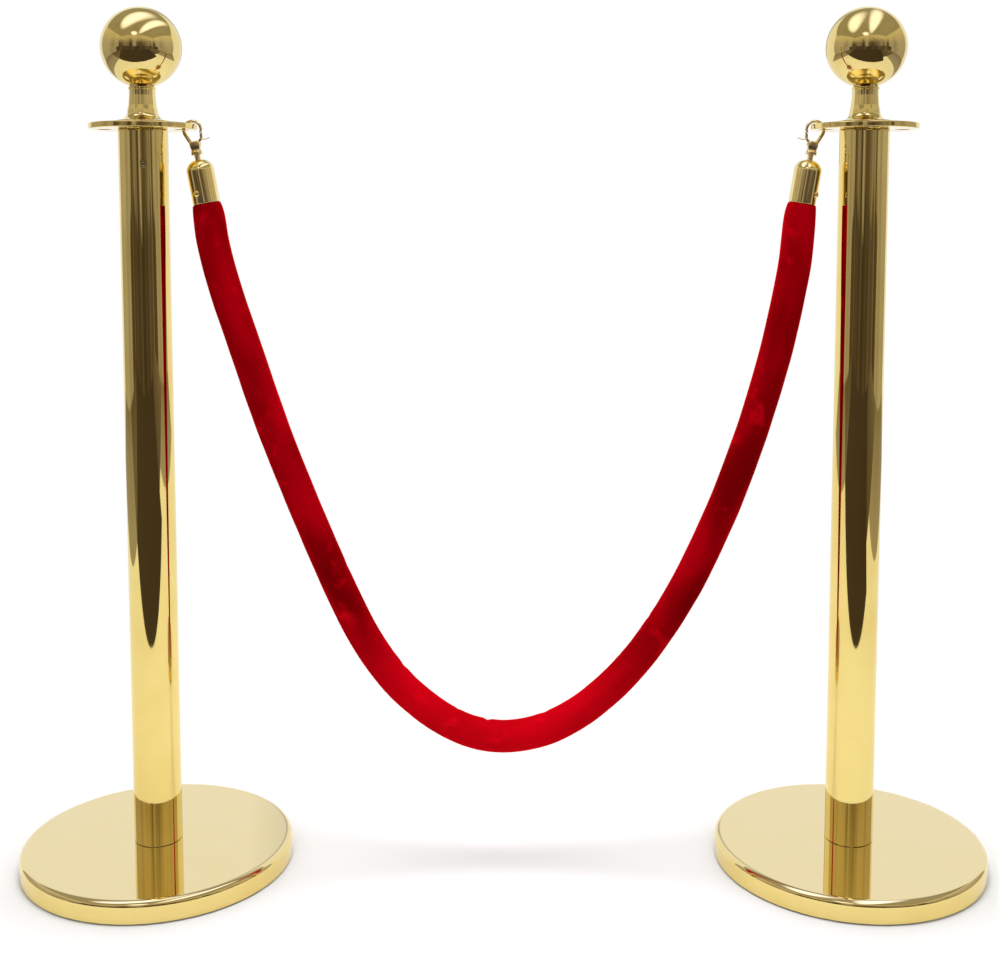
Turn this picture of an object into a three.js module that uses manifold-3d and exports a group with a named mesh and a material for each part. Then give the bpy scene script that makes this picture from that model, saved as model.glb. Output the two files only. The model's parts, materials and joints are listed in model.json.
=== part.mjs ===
// A rope barrier: two ball-topped stanchions joined by one velvet rope that hangs on swivel snap hooks.
//
// Frame: millimetres, +Z up, the floor at z = 0, the origin midway between the two posts, +X towards the
// right post. Each stanchion is a weighted base, a tube, a rope plate with holes and a ball finial. The rope
// ends are domed caps, and a hook with a sprung gate turns on each cap.
import * as THREE from "three";
import { mergeVertices } from "three/addons/utils/BufferGeometryUtils.js";
import Module from "manifold-3d";

const wasm = await Module();
wasm.setup();

// ---------------------------------------------------------------- driving dimensions, millimetres
const GAP = 0.3; // between two pieces that touch
const CLEAR = 0.5; // radial clearance of a bolt or screw in its hole
const FACETS = { base: 44, post: 36, turned: 26, small: 16, wire: 8 }; // round the axis, by kind of piece

const POST_SPACING = 752; // between the two post axes

const BASE_RADIUS = 144;
const BASE_HEIGHT = 24;
const COVER_WALL = 1.5;
const COVER_EDGE_RADIUS = 7;
const COVER_LIFT = 1.2; // the cover's rim stays this far off the floor
const PAD_THICKNESS = 3;
const PAD_BORE_RADIUS = 24;

const BOLT_RADIUS = 6;
const WEIGHT_WEB = 6; // the weight's thickness over the bolt's recess
const BOLT_HEAD_RADIUS = 10.4; // across the corners of the hexagon
const BOLT_HEAD_HEIGHT = 7.5;
const BOLT_REACH = 18; // how far the bolt goes into the tube's lower plug
const WASHER_RADIUS = 14;
const WASHER_THICKNESS = 2.2;

const TUBE_RADIUS = 25.5;
const TUBE_WALL = 1.5;
const TUBE_LENGTH = 763.4;
const LOWER_PLUG_HEIGHT = 26;
const UPPER_PLUG_HEIGHT = 48;
const SET_SCREW_RADIUS = 2.6;
const SET_SCREW_LENGTH = 11;
const SET_SCREW_DROP = 36; // below the top of the tube

const PLATE_RADIUS = 55;
const PLATE_THICKNESS = 6;
const PLATE_CHAMFER = 0.8;
const ROPE_HOLES = 4;
const ROPE_HOLE_RADIUS = 8;
const WEB_WIDTH = 7; // between a rope hole and the plate's rim

const STUD_RADIUS = 5;
const STUD_DEPTH = 30; // how far the stud goes into the tube's upper plug
const STUD_REACH = 14; // how far the stud stands up inside the ball
const FLANGE_RADIUS = 28.6;
const FLANGE_EDGE = 2.8; // thickness of the flange at its rim
const NECK_HEIGHT = 38.2;
const NECK_SWEEP = 9; // height of the hollow sweep above the flange
const NECK_FOOT_RADIUS = 15.6;
const NECK_TOP_RADIUS = 13.4;
const BALL_RADIUS = 41.5;
const BALL_WALL = 2;
const BALL_SEAT_RADIUS = 12; // the opening under the ball
const INSERT_COLLAR_RADIUS = 16; // of the threaded insert inside the ball
const INSERT_COLLAR_HEIGHT = 6;

const WIRE_RADIUS = 1.6; // of the hook's arm
const LOOP_RADIUS = 9; // of the hook's eye, to the middle of the arm
const SEAT_CLEARANCE = 0.35; // between the hook's arm and the plate's web
const NOSE_ANGLE = THREE.MathUtils.degToRad(-27); // where the arm's nose meets the gate
const HOOK_BODY_WIDTH = 11;
const HOOK_BODY_DEPTH = 9;
const HOOK_BODY_DROP = 12; // from the eye's centre down to the body
const HOOK_BODY_LENGTH = 14.5;
const COLLAR_RADIUS = 6;
const COLLAR_HEIGHT = 3.4;
const GATE_WIDTH = 2.9;
const GATE_THICKNESS = 2.4; // along the pin
const GATE_EYE_RADIUS = 2.3;
const GATE_KNEE = new THREE.Vector2(7.2, -10.6);
const LEVER_TIP = new THREE.Vector2(16.6, -11.6);
const LEVER_THICKNESS = 1.3;
const LEVER_WIDTH = 5;
const PIN_RADIUS = 0.9;
const PIN_HEAD_RADIUS = 1.7;
const PIN_HEAD_HEIGHT = 0.9;
const SPRING_WIRE_RADIUS = 0.28;
const SPRING_RADIUS = 1.6;
const SPRING_LEG = 2.6;
const SPRING_WIDTH = 1.6; // along the pin
const SWIVEL_RADIUS = 3;
const SWIVEL_GRIP = 6; // how far the stem goes up into the hook
const SWIVEL_HEAD_RADIUS = 6.5;
const SWIVEL_HEAD_HEIGHT = 2.4;
const SWIVEL_SHOWS = 4.5; // length of stem that shows between the hook and the cap

const CAP_RADIUS = 14.2;
const CAP_WALL = 1.6;
const CAP_LENGTH = 46.5;
const CAP_DOME_HEIGHT = 12;
const CAP_HOLE_RADIUS = 4.2;
const CAP_BINDING = 33; // how far the bound end of the rope goes up into the cap
const CAP_SCREW_UP = 11; // above the mouth of the cap
const CAP_SCREW_RADIUS = 1.5;
const CAP_SCREW_LENGTH = 8;
const CAP_SCREW_HEAD_RADIUS = 3.2;
const CAP_SCREW_HEAD_HEIGHT = 1.9;

const ROPE_RADIUS = 17;
const ROPE_SIDES = 12;
const ROPE_STEPS = 22;
const ROPE_STRAIGHT = 13; // the rope leaves each cap straight for this far

// Each side of the barrier, in degrees: how its frame is turned so that its +X points to the other post, how
// far the hook leans from the upright, and which way the two small screws face in that frame.
const SIDES = {
  left: { turn: 0, tilt: 10, capScrewFaces: -111, setScrewFaces: -76 },
  right: { turn: 180, tilt: 9, capScrewFaces: 140, setScrewFaces: -60 },
};

// The rope's route between its two straight ends, chosen by hand: x, and how far below the hooks' eyes, at
// y = 0. It hangs a little fuller on the right, as a soft rope does.
const ROPE_ROUTE = [
  [-305, 117], [-294.5, 160], [-281, 203], [-267, 246], [-253, 289], [-238, 332], [-221.5, 375],
  [-204.5, 417.5], [-187, 460], [-168, 503], [-146, 546], [-118, 586], [-86, 616.5], [-52, 638.5],
  [-19, 649.5], [13, 650], [45.5, 642.5], [78, 626], [110, 601], [142, 567], [171, 526.5], [196, 483.5],
  [217, 439.5], [235.5, 396.5], [251.5, 353], [266, 310], [278.5, 267], [289.5, 224], [298.5, 181],
  [306, 138],
];

// ---------------------------------------------------------------- places that follow from the sizes
const coverInside = BASE_RADIUS - COVER_WALL;
const weightTop = BASE_HEIGHT - COVER_WALL - GAP;
const washerTop = weightTop - WEIGHT_WEB - GAP;
const tubeBottom = BASE_HEIGHT + GAP;
const tubeTop = tubeBottom + TUBE_LENGTH;
const tubeBore = TUBE_RADIUS - TUBE_WALL;
const plateBottom = tubeTop + GAP;
const plateTop = plateBottom + PLATE_THICKNESS;
const ropeHoleCircle = PLATE_RADIUS - WEB_WIDTH - ROPE_HOLE_RADIUS;
const neckBottom = plateTop + GAP;
const neckTop = neckBottom + NECK_HEIGHT;
const ballCentre = neckTop + GAP + Math.sqrt(BALL_RADIUS ** 2 - BALL_SEAT_RADIUS ** 2);
const webCentre = PLATE_RADIUS - WEB_WIDTH / 2;
const eyeInside = LOOP_RADIUS - WIRE_RADIUS - SEAT_CLEARANCE;
const eyeCentreZ = plateTop - Math.sqrt(eyeInside ** 2 - (WEB_WIDTH / 2) ** 2);
const hookBodyTop = -HOOK_BODY_DROP;
const hookBodyBottom = hookBodyTop - HOOK_BODY_LENGTH;
const gatePivot = new THREE.Vector2(
  HOOK_BODY_WIDTH / 2 - GATE_EYE_RADIUS - GAP,
  hookBodyTop - GATE_EYE_RADIUS,
);
const noseTip = new THREE.Vector2(LOOP_RADIUS, 0).rotateAround(new THREE.Vector2(), NOSE_ANGLE);
const capTop = hookBodyBottom - SWIVEL_SHOWS;
const capMouth = capTop - CAP_LENGTH;
const capShoulder = capTop - CAP_DOME_HEIGHT;
const capInside = CAP_RADIUS - CAP_WALL;
const domeInside = CAP_DOME_HEIGHT - CAP_WALL;
const stemHeadTop = capShoulder + domeInside * Math.sqrt(1 - (SWIVEL_HEAD_RADIUS / capInside) ** 2) - CLEAR;

// ---------------------------------------------------------------- materials
const metal = (color, roughness) => new THREE.MeshStandardMaterial({ color, roughness, metalness: 1 });
const MATERIALS = {
  gold: metal(0xd9b456, 0.12),
  hookGold: metal(0xc9a348, 0.22),
  zinc: metal(0xb9bcc0, 0.35),
  steel: metal(0x8d9094, 0.4),
  iron: new THREE.MeshStandardMaterial({ color: 0x35373a, roughness: 0.75, metalness: 0.3 }),
  rubber: new THREE.MeshStandardMaterial({ color: 0x17181a, roughness: 0.85, metalness: 0 }),
  velvet: new THREE.MeshStandardMaterial({ color: 0xa30412, roughness: 0.9, metalness: 0 }),
  cord: new THREE.MeshStandardMaterial({ color: 0xcdbf9c, roughness: 0.95, metalness: 0 }),
};

// ---------------------------------------------------------------- solids
/** A closed geometry as a manifold-3d solid. */
function solidOf(geometry) {
  const bare = geometry.clone();
  bare.deleteAttribute("normal");
  bare.deleteAttribute("uv");
  const merged = mergeVertices(bare, 1e-3);
  return new wasm.Manifold(
    new wasm.Mesh({
      numProp: 3,
      vertProperties: merged.attributes.position.array,
      triVerts: new Uint32Array(merged.index.array),
    }),
  );
}

/** A manifold-3d solid as a geometry. */
function geometryOf(solid) {
  const mesh = solid.getMesh();
  const geometry = new THREE.BufferGeometry();
  geometry.setAttribute("position", new THREE.BufferAttribute(mesh.vertProperties, 3));
  geometry.setIndex(new THREE.BufferAttribute(mesh.triVerts, 1));
  return geometry.toNonIndexed();
}

/** The first geometry without the others. */
function cut(geometry, ...tools) {
  return geometryOf(tools.reduce((rest, tool) => rest.subtract(solidOf(tool)), solidOf(geometry)));
}

/** All the geometries as one solid. */
function join(...geometries) {
  return geometryOf(geometries.map(solidOf).reduce((whole, next) => whole.add(next)));
}

/** A profile of [radius, z] points spun about Z. It closes on itself or on the axis, and rises outside. */
function lathe(profile, facets) {
  const onAxis = profile[0][0] === 0 && profile[profile.length - 1][0] === 0;
  const closed = onAxis ? profile : [...profile, profile[0]];
  const points = closed.map(([r, z]) => new THREE.Vector2(r, z));
  return new THREE.LatheGeometry(points, facets).rotateX(Math.PI / 2);
}

/** A straight rod along Z. */
const rod = (radius, low, high, facets = FACETS.small) =>
  lathe([[0, low], [radius, low], [radius, high], [0, high]], facets);

/** A ring along Z. */
const ring = (inner, outer, low, high, facets = FACETS.turned) =>
  lathe([[inner, low], [outer, low], [outer, high], [inner, high]], facets);

/** Points of an elliptical arc in [radius, z], from one angle to another, in degrees from the +radius way. */
function arc(r, z, wide, tall, from, to, steps) {
  return Array.from({ length: steps + 1 }, (_, i) => {
    const a = THREE.MathUtils.degToRad(from + ((to - from) * i) / steps);
    return [r + wide * Math.cos(a), z + tall * Math.sin(a)];
  });
}

/** A round bar along a curve. */
function bar(path, radius, sides, steps) {
  const section = new THREE.Shape(
    Array.from({ length: sides }, (_, i) => {
      const a = (2 * Math.PI * i) / sides;
      return new THREE.Vector2(radius * Math.cos(a), radius * Math.sin(a));
    }),
  );
  return new THREE.ExtrudeGeometry(section, { steps, extrudePath: path });
}

/** An outline in x and z, made thick along Y about y = 0. */
function slab(shape, thickness) {
  const options = { depth: thickness, bevelEnabled: false, curveSegments: 5 };
  return new THREE.ExtrudeGeometry(shape, options).rotateX(Math.PI / 2).translate(0, thickness / 2, 0);
}

/** A named mesh. */
function piece(name, geometry, material) {
  const mesh = new THREE.Mesh(geometry, material);
  mesh.name = name;
  return mesh;
}

/** A screw along Z, its shank from low to high and its domed head above. */
function domedScrew(radius, low, high, headRadius, headHeight) {
  const head = arc(0, high, headRadius, headHeight, 0, 90, 4).slice(0, -1);
  const profile = [[0, low], [radius, low], [radius, high], ...head, [0, high + headHeight]];
  return lathe(profile, FACETS.small);
}

// ---------------------------------------------------------------- the base
/** The polished cover: a flat-topped pan that hangs over the weight, with a rolled edge and a bolt hole. */
function baseCover() {
  const inner = COVER_EDGE_RADIUS - COVER_WALL;
  const centre = BASE_HEIGHT - COVER_EDGE_RADIUS;
  const hole = BOLT_RADIUS + CLEAR;
  return lathe(
    [
      [coverInside, COVER_LIFT],
      [BASE_RADIUS, COVER_LIFT],
      ...arc(BASE_RADIUS - COVER_EDGE_RADIUS, centre, COVER_EDGE_RADIUS, COVER_EDGE_RADIUS, 0, 90, 4),
      [hole, BASE_HEIGHT],
      [hole, BASE_HEIGHT - COVER_WALL],
      ...arc(BASE_RADIUS - COVER_EDGE_RADIUS, centre, inner, inner, 90, 0, 2),
    ],
    FACETS.base,
  );
}

/** The cast weight inside the cover, with a bolt hole and a recess for the bolt's head. */
function baseWeight() {
  const low = PAD_THICKNESS + GAP;
  const outer = coverInside - 1;
  const hole = BOLT_RADIUS + CLEAR;
  return lathe(
    [
      [PAD_BORE_RADIUS, low],
      [outer, low],
      [outer, weightTop - COVER_EDGE_RADIUS],
      [outer - COVER_EDGE_RADIUS, weightTop],
      [hole, weightTop],
      [hole, weightTop - WEIGHT_WEB],
      [PAD_BORE_RADIUS, weightTop - WEIGHT_WEB],
    ],
    FACETS.post,
  );
}

/** The rubber pad that the stanchion stands on. */
function floorPad() {
  const outer = coverInside - 1.5;
  const edge = 0.8;
  return lathe(
    [
      [PAD_BORE_RADIUS, 0],
      [outer - edge, 0],
      [outer, edge],
      [outer, PAD_THICKNESS],
      [PAD_BORE_RADIUS, PAD_THICKNESS],
    ],
    FACETS.post,
  );
}

/** The washer between the bolt's head and the weight. */
const baseWasher = () =>
  ring(BOLT_RADIUS + CLEAR, WASHER_RADIUS, washerTop - WASHER_THICKNESS, washerTop, FACETS.small);

/** The hexagon bolt that goes up through the weight and the cover into the tube's lower plug. */
function baseBolt() {
  const under = washerTop - WASHER_THICKNESS - GAP;
  const head = rod(BOLT_HEAD_RADIUS, under - BOLT_HEAD_HEIGHT, under, 6);
  return join(head, rod(BOLT_RADIUS, under - 1, tubeBottom + BOLT_REACH));
}

// ---------------------------------------------------------------- the post
/** The polished tube, with the hole that its set screw sits in. */
function postTube(screwFaces) {
  return cut(
    ring(tubeBore, TUBE_RADIUS, tubeBottom, tubeTop, FACETS.post),
    setScrewBore(screwFaces, 0),
  );
}

/** The space round the set screw, from the given radius outwards. */
function setScrewBore(faces, from) {
  return rod(SET_SCREW_RADIUS + CLEAR, from, TUBE_RADIUS + 5)
    .rotateY(Math.PI / 2)
    .rotateZ(THREE.MathUtils.degToRad(faces))
    .translate(0, 0, tubeTop - SET_SCREW_DROP);
}

/** The set screw that holds the tube on its upper plug: a cup point and a hexagon socket. */
function setScrew(faces) {
  const high = TUBE_RADIUS + 0.4;
  const socket = rod(1.3, high - 3, high + 1, 6);
  return cut(rod(SET_SCREW_RADIUS, high - SET_SCREW_LENGTH, high), socket)
    .rotateY(Math.PI / 2)
    .rotateZ(THREE.MathUtils.degToRad(faces))
    .translate(0, 0, tubeTop - SET_SCREW_DROP);
}

/** The threaded plug fixed in the tube's lower end. */
function lowerPlug() {
  const outer = tubeBore - CLEAR;
  return ring(BOLT_RADIUS + GAP, outer, tubeBottom, tubeBottom + LOWER_PLUG_HEIGHT);
}

/** The threaded plug in the tube's upper end, which takes the finial's stud and the set screw. */
function upperPlug(screwFaces) {
  const outer = tubeBore - CLEAR;
  const body = ring(STUD_RADIUS + GAP, outer, tubeTop - UPPER_PLUG_HEIGHT, tubeTop);
  return cut(body, setScrewBore(screwFaces, TUBE_RADIUS - SET_SCREW_LENGTH - GAP));
}

// ---------------------------------------------------------------- the head
/** The rope plate: a round plate with a softened rim, a stud hole and a ring of rope holes. */
function ropePlate() {
  const c = PLATE_CHAMFER;
  const blank = lathe(
    [
      [STUD_RADIUS + CLEAR, plateBottom],
      [PLATE_RADIUS - c, plateBottom],
      [PLATE_RADIUS, plateBottom + c],
      [PLATE_RADIUS, plateTop - c],
      [PLATE_RADIUS - c, plateTop],
      [STUD_RADIUS + CLEAR, plateTop],
    ],
    FACETS.base,
  );
  const holes = Array.from({ length: ROPE_HOLES }, (_, i) =>
    rod(ROPE_HOLE_RADIUS, plateBottom - 1, plateTop + 1)
      .translate(ropeHoleCircle, 0, 0)
      .rotateZ((2 * Math.PI * i) / ROPE_HOLES),
  );
  return cut(blank, ...holes);
}

/** The stud that runs from the upper plug through the plate and the neck into the ball. */
const finialStud = () => rod(STUD_RADIUS, tubeTop - STUD_DEPTH, neckTop + STUD_REACH);

/** The turned neck: a flange, a hollow sweep up to a rounded foot, and a waist under the ball. */
function finialNeck() {
  const sweepFoot = neckBottom + FLANGE_EDGE;
  const foot = sweepFoot + NECK_SWEEP;
  const rim = FLANGE_RADIUS - 1;
  return lathe(
    [
      [STUD_RADIUS + CLEAR, neckBottom],
      [FLANGE_RADIUS - 0.6, neckBottom],
      [FLANGE_RADIUS, neckBottom + 0.6],
      [FLANGE_RADIUS, sweepFoot - 0.6],
      ...arc(rim, foot, rim - NECK_FOOT_RADIUS, NECK_SWEEP, 270, 180, 4),
      [NECK_TOP_RADIUS + 0.9, foot + 7],
      [NECK_TOP_RADIUS, neckTop - 6],
      [NECK_TOP_RADIUS + 0.5, neckTop - 1.2],
      [NECK_TOP_RADIUS - 0.6, neckTop],
      [STUD_RADIUS + CLEAR, neckTop],
    ],
    FACETS.turned,
  );
}

/** The hollow ball, open underneath where the neck and the stud go in. */
function finialBall() {
  const inner = BALL_RADIUS - BALL_WALL;
  const seatAngle = THREE.MathUtils.radToDeg(Math.acos(BALL_SEAT_RADIUS / BALL_RADIUS));
  const below = ballCentre - BALL_RADIUS - 1;
  const outside = arc(0, ballCentre, BALL_RADIUS, BALL_RADIUS, -seatAngle, 90, 11).slice(0, -1);
  const shell = lathe([[0, outside[0][1]], ...outside, [0, ballCentre + BALL_RADIUS]], FACETS.turned);
  const inside = arc(0, ballCentre, inner, inner, -76, 76, 7);
  const hollow = lathe([[0, ballCentre - inner], ...inside, [0, ballCentre + inner]], FACETS.small);
  return cut(shell, hollow, rod(BALL_SEAT_RADIUS, below, ballCentre, FACETS.turned));
}

/** The threaded insert that fills the ball's opening and is held by its collar inside the ball. */
function ballInsert() {
  const hole = STUD_RADIUS + GAP;
  const low = neckTop + GAP;
  const collar = ballCentre - Math.sqrt((BALL_RADIUS - BALL_WALL) ** 2 - INSERT_COLLAR_RADIUS ** 2) + 3 * GAP;
  return lathe(
    [
      [hole, low],
      [BALL_SEAT_RADIUS - CLEAR, low],
      [BALL_SEAT_RADIUS - CLEAR, collar],
      [INSERT_COLLAR_RADIUS, collar],
      [INSERT_COLLAR_RADIUS, collar + INSERT_COLLAR_HEIGHT],
      [hole, collar + INSERT_COLLAR_HEIGHT],
    ],
    FACETS.turned,
  );
}

// ---------------------------------------------------------------- the hook, about its eye, hanging down -Z
/** The hook: an arm bent into an eye, a forked body that the gate turns in, and a collar for the stem. */
function hookBody() {
  const from = THREE.MathUtils.degToRad(195);
  const to = NOSE_ANGLE - 0.3;
  const eye = Array.from({ length: 13 }, (_, i) => {
    const a = from + ((to - from) * i) / 12;
    return new THREE.Vector3(LOOP_RADIUS * Math.cos(a), 0, LOOP_RADIUS * Math.sin(a));
  });
  const root = new THREE.Vector3(-HOOK_BODY_WIDTH / 2 + WIRE_RADIUS, 0, hookBodyTop - WIRE_RADIUS);
  const arm = bar(new THREE.CatmullRomCurve3([root, ...eye]), WIRE_RADIUS, FACETS.wire, 22);
  const nose = new THREE.BoxGeometry(12, 12, 12).translate(0, 0, -6).rotateY(Math.PI / 4);
  nose.translate(noseTip.x, 0, noseTip.y);
  const body = new THREE.BoxGeometry(HOOK_BODY_WIDTH, HOOK_BODY_DEPTH, HOOK_BODY_LENGTH);
  body.translate(0, 0, hookBodyTop - HOOK_BODY_LENGTH / 2);
  const collar = rod(COLLAR_RADIUS, hookBodyBottom, hookBodyBottom + COLLAR_HEIGHT);
  const stemHole = rod(SWIVEL_RADIUS + GAP, hookBodyBottom - 1, hookBodyBottom + SWIVEL_GRIP + GAP);
  const pinHole = alongPin(rod(PIN_RADIUS + GAP, -HOOK_BODY_DEPTH, HOOK_BODY_DEPTH, FACETS.wire));
  const solid = join(cut(arm, nose), body, collar);
  return cut(solid, stemHole, pinHole, gateSlot());
}

/** The space in the hook's body that the gate and its spring turn in. */
function gateSlot() {
  const room = GATE_EYE_RADIUS + GAP;
  const low = gatePivot.y - room;
  const from = -GATE_THICKNESS / 2 - GAP;
  const to = GATE_THICKNESS / 2 + SPRING_WIDTH + 2 * GAP;
  const slot = new THREE.BoxGeometry(HOOK_BODY_WIDTH, to - from, -low);
  return slot.translate(gatePivot.x - room + HOOK_BODY_WIDTH / 2, (from + to) / 2, low / 2);
}

/** A solid made along Z, laid along the gate's pin: its +Z end faces -Y. */
function alongPin(geometry) {
  return geometry.rotateX(Math.PI / 2).translate(gatePivot.x, 0, gatePivot.y);
}

/** The gate: a bent arm from the pin up to the hook's nose, with a thin lever for the thumb. */
function gate() {
  const half = GATE_WIDTH / 2;
  const arm = new THREE.Shape();
  arm.moveTo(gatePivot.x + half, gatePivot.y - half);
  arm.lineTo(GATE_KNEE.x + half, GATE_KNEE.y - half / 2);
  arm.lineTo(noseTip.x + half, noseTip.y - half - 2 * GAP);
  arm.lineTo(noseTip.x - half, noseTip.y + half - 2 * GAP);
  arm.lineTo(GATE_KNEE.x - half, GATE_KNEE.y + half / 2);
  arm.lineTo(gatePivot.x - half, gatePivot.y + half);
  const low = GATE_KNEE.y - half / 2;
  const lever = new THREE.Shape();
  lever.moveTo(GATE_KNEE.x, low);
  lever.quadraticCurveTo((GATE_KNEE.x + LEVER_TIP.x) / 2, low - LEVER_THICKNESS, LEVER_TIP.x, LEVER_TIP.y);
  lever.lineTo(LEVER_TIP.x, LEVER_TIP.y + LEVER_THICKNESS * 0.8);
  lever.quadraticCurveTo((GATE_KNEE.x + LEVER_TIP.x) / 2, low, GATE_KNEE.x, low + LEVER_THICKNESS);
  const eye = alongPin(rod(GATE_EYE_RADIUS, -GATE_THICKNESS / 2, GATE_THICKNESS / 2));
  const hole = alongPin(rod(PIN_RADIUS + GAP, -GATE_THICKNESS, GATE_THICKNESS, FACETS.wire));
  return cut(join(slab(arm, GATE_THICKNESS), eye, slab(lever, LEVER_WIDTH)), hole);
}

/** The pin that the gate turns on, with its round head on the front of the hook. */
function gatePin() {
  const half = HOOK_BODY_DEPTH / 2 + GAP;
  return alongPin(domedScrew(PIN_RADIUS, -half, half, PIN_HEAD_RADIUS, PIN_HEAD_HEIGHT));
}

/** The gate's spring: a turn and a half round the pin, with two legs that point up. */
function gateSpring() {
  const near = GATE_THICKNESS / 2 + GAP + SPRING_WIRE_RADIUS;
  const far = near + SPRING_WIDTH - 2 * SPRING_WIRE_RADIUS;
  const coil = Array.from({ length: 13 }, (_, i) => {
    const a = Math.PI + (3 * Math.PI * i) / 12;
    const y = far + ((near - far) * i) / 12;
    return new THREE.Vector3(SPRING_RADIUS * Math.cos(a), y, SPRING_RADIUS * Math.sin(a));
  });
  const start = new THREE.Vector3(-SPRING_RADIUS, far, SPRING_LEG);
  const end = new THREE.Vector3(SPRING_RADIUS, near, SPRING_LEG);
  const wire = bar(new THREE.CatmullRomCurve3([start, ...coil, end]), SPRING_WIRE_RADIUS, 5, 26);
  return wire.translate(gatePivot.x, 0, gatePivot.y);
}

/** The swivel stem: fixed in the hook's collar, with a head that turns inside the cap. */
function swivelStem() {
  return lathe(
    [
      [0, stemHeadTop - SWIVEL_HEAD_HEIGHT],
      [SWIVEL_HEAD_RADIUS, stemHeadTop - SWIVEL_HEAD_HEIGHT],
      [SWIVEL_HEAD_RADIUS, stemHeadTop],
      [SWIVEL_RADIUS, stemHeadTop],
      [SWIVEL_RADIUS, hookBodyBottom + SWIVEL_GRIP],
      [0, hookBodyBottom + SWIVEL_GRIP],
    ],
    FACETS.small,
  );
}

// ---------------------------------------------------------------- the rope's ends, in the hook's frame
/** A small screw's place on the cap: pointing out through the wall on the side that it faces. */
function onCap(geometry, faces) {
  const turned = geometry.rotateY(Math.PI / 2).rotateZ(THREE.MathUtils.degToRad(faces));
  return turned.translate(0, 0, capMouth + CAP_SCREW_UP);
}

/** The end cap: a domed metal cup over the rope's end, with a hole for the stem and one for the screw. */
function endCap(screwFaces) {
  const atHole = (radius) => THREE.MathUtils.radToDeg(Math.acos(CAP_HOLE_RADIUS / radius));
  const shell = lathe(
    [
      [capInside, capMouth],
      [CAP_RADIUS, capMouth],
      ...arc(0, capShoulder, CAP_RADIUS, CAP_DOME_HEIGHT, 0, atHole(CAP_RADIUS), 5),
      ...arc(0, capShoulder, capInside, domeInside, atHole(capInside), 0, 4),
    ],
    FACETS.turned,
  );
  return cut(shell, onCap(rod(CAP_SCREW_RADIUS + CLEAR, 0, CAP_RADIUS + 5, FACETS.wire), screwFaces));
}

/** The screw that pins the cap to the rope's bound end. */
function capScrew(faces) {
  const seat = CAP_RADIUS + GAP;
  const low = seat - CAP_SCREW_LENGTH;
  return onCap(domedScrew(CAP_SCREW_RADIUS, low, seat, CAP_SCREW_HEAD_RADIUS, CAP_SCREW_HEAD_HEIGHT), faces);
}

/** The bound end of the rope inside the cap. */
function ropeEnd(screwFaces) {
  const bore = rod(CAP_SCREW_RADIUS + GAP, CAP_RADIUS - CAP_SCREW_LENGTH - GAP, CAP_RADIUS + 5, FACETS.wire);
  return cut(rod(capInside - GAP, capMouth, capMouth + CAP_BINDING, FACETS.turned), onCap(bore, screwFaces));
}

// ---------------------------------------------------------------- the rope
/** The velvet rope, from one cap's mouth to the other's, along its hand-chosen route. */
function rope() {
  const ends = Object.values(SIDES).map(({ turn, tilt }) => {
    const lean = THREE.MathUtils.degToRad(tilt);
    const side = Math.cos(THREE.MathUtils.degToRad(turn));
    return [GAP, GAP + ROPE_STRAIGHT].map((past) => {
      const along = -capMouth + past;
      const x = -POST_SPACING / 2 + webCentre + along * Math.sin(lean);
      return new THREE.Vector3(side * x, 0, eyeCentreZ - along * Math.cos(lean));
    });
  });
  const middle = ROPE_ROUTE.map(([x, drop]) => new THREE.Vector3(x, 0, eyeCentreZ - drop));
  const route = new THREE.CatmullRomCurve3([...ends[0], ...middle, ...ends[1].reverse()]);
  return bar(route, ROPE_RADIUS, ROPE_SIDES, ROPE_STEPS);
}

// ---------------------------------------------------------------- the assembly
/** One stanchion, about its own axis, with its +X towards the other one. */
function stanchion(side, { setScrewFaces }) {
  const group = new THREE.Group();
  group.add(
    piece(`${side}_floor_pad`, floorPad(), MATERIALS.rubber),
    piece(`${side}_base_weight`, baseWeight(), MATERIALS.iron),
    piece(`${side}_base_cover`, baseCover(), MATERIALS.gold),
    piece(`${side}_base_washer`, baseWasher(), MATERIALS.zinc),
    piece(`${side}_base_bolt`, baseBolt(), MATERIALS.zinc),
    piece(`${side}_lower_plug`, lowerPlug(), MATERIALS.steel),
    piece(`${side}_post_tube`, postTube(setScrewFaces), MATERIALS.gold),
    piece(`${side}_upper_plug`, upperPlug(setScrewFaces), MATERIALS.steel),
    piece(`${side}_set_screw`, setScrew(setScrewFaces), MATERIALS.steel),
    piece(`${side}_rope_plate`, ropePlate(), MATERIALS.gold),
    piece(`${side}_finial_stud`, finialStud(), MATERIALS.zinc),
    piece(`${side}_finial_neck`, finialNeck(), MATERIALS.gold),
    piece(`${side}_finial_ball`, finialBall(), MATERIALS.gold),
    piece(`${side}_ball_insert`, ballInsert(), MATERIALS.steel),
  );
  return group;
}

/** One end of the rope, hung on the plate's web: the hook with its gate, and the cap that turns below it. */
function ropeFitting(side, { tilt, capScrewFaces }) {
  const group = new THREE.Group();
  group.add(
    piece(`${side}_hook`, hookBody(), MATERIALS.hookGold),
    piece(`${side}_gate`, gate(), MATERIALS.hookGold),
    piece(`${side}_gate_pin`, gatePin(), MATERIALS.hookGold),
    piece(`${side}_gate_spring`, gateSpring(), MATERIALS.steel),
    piece(`${side}_swivel_stem`, swivelStem(), MATERIALS.hookGold),
    piece(`${side}_end_cap`, endCap(capScrewFaces), MATERIALS.gold),
    piece(`${side}_cap_screw`, capScrew(capScrewFaces), MATERIALS.gold),
    piece(`${side}_rope_end`, ropeEnd(capScrewFaces), MATERIALS.cord),
  );
  group.position.set(webCentre, 0, eyeCentreZ);
  group.rotation.y = -THREE.MathUtils.degToRad(tilt);
  return group;
}

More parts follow.
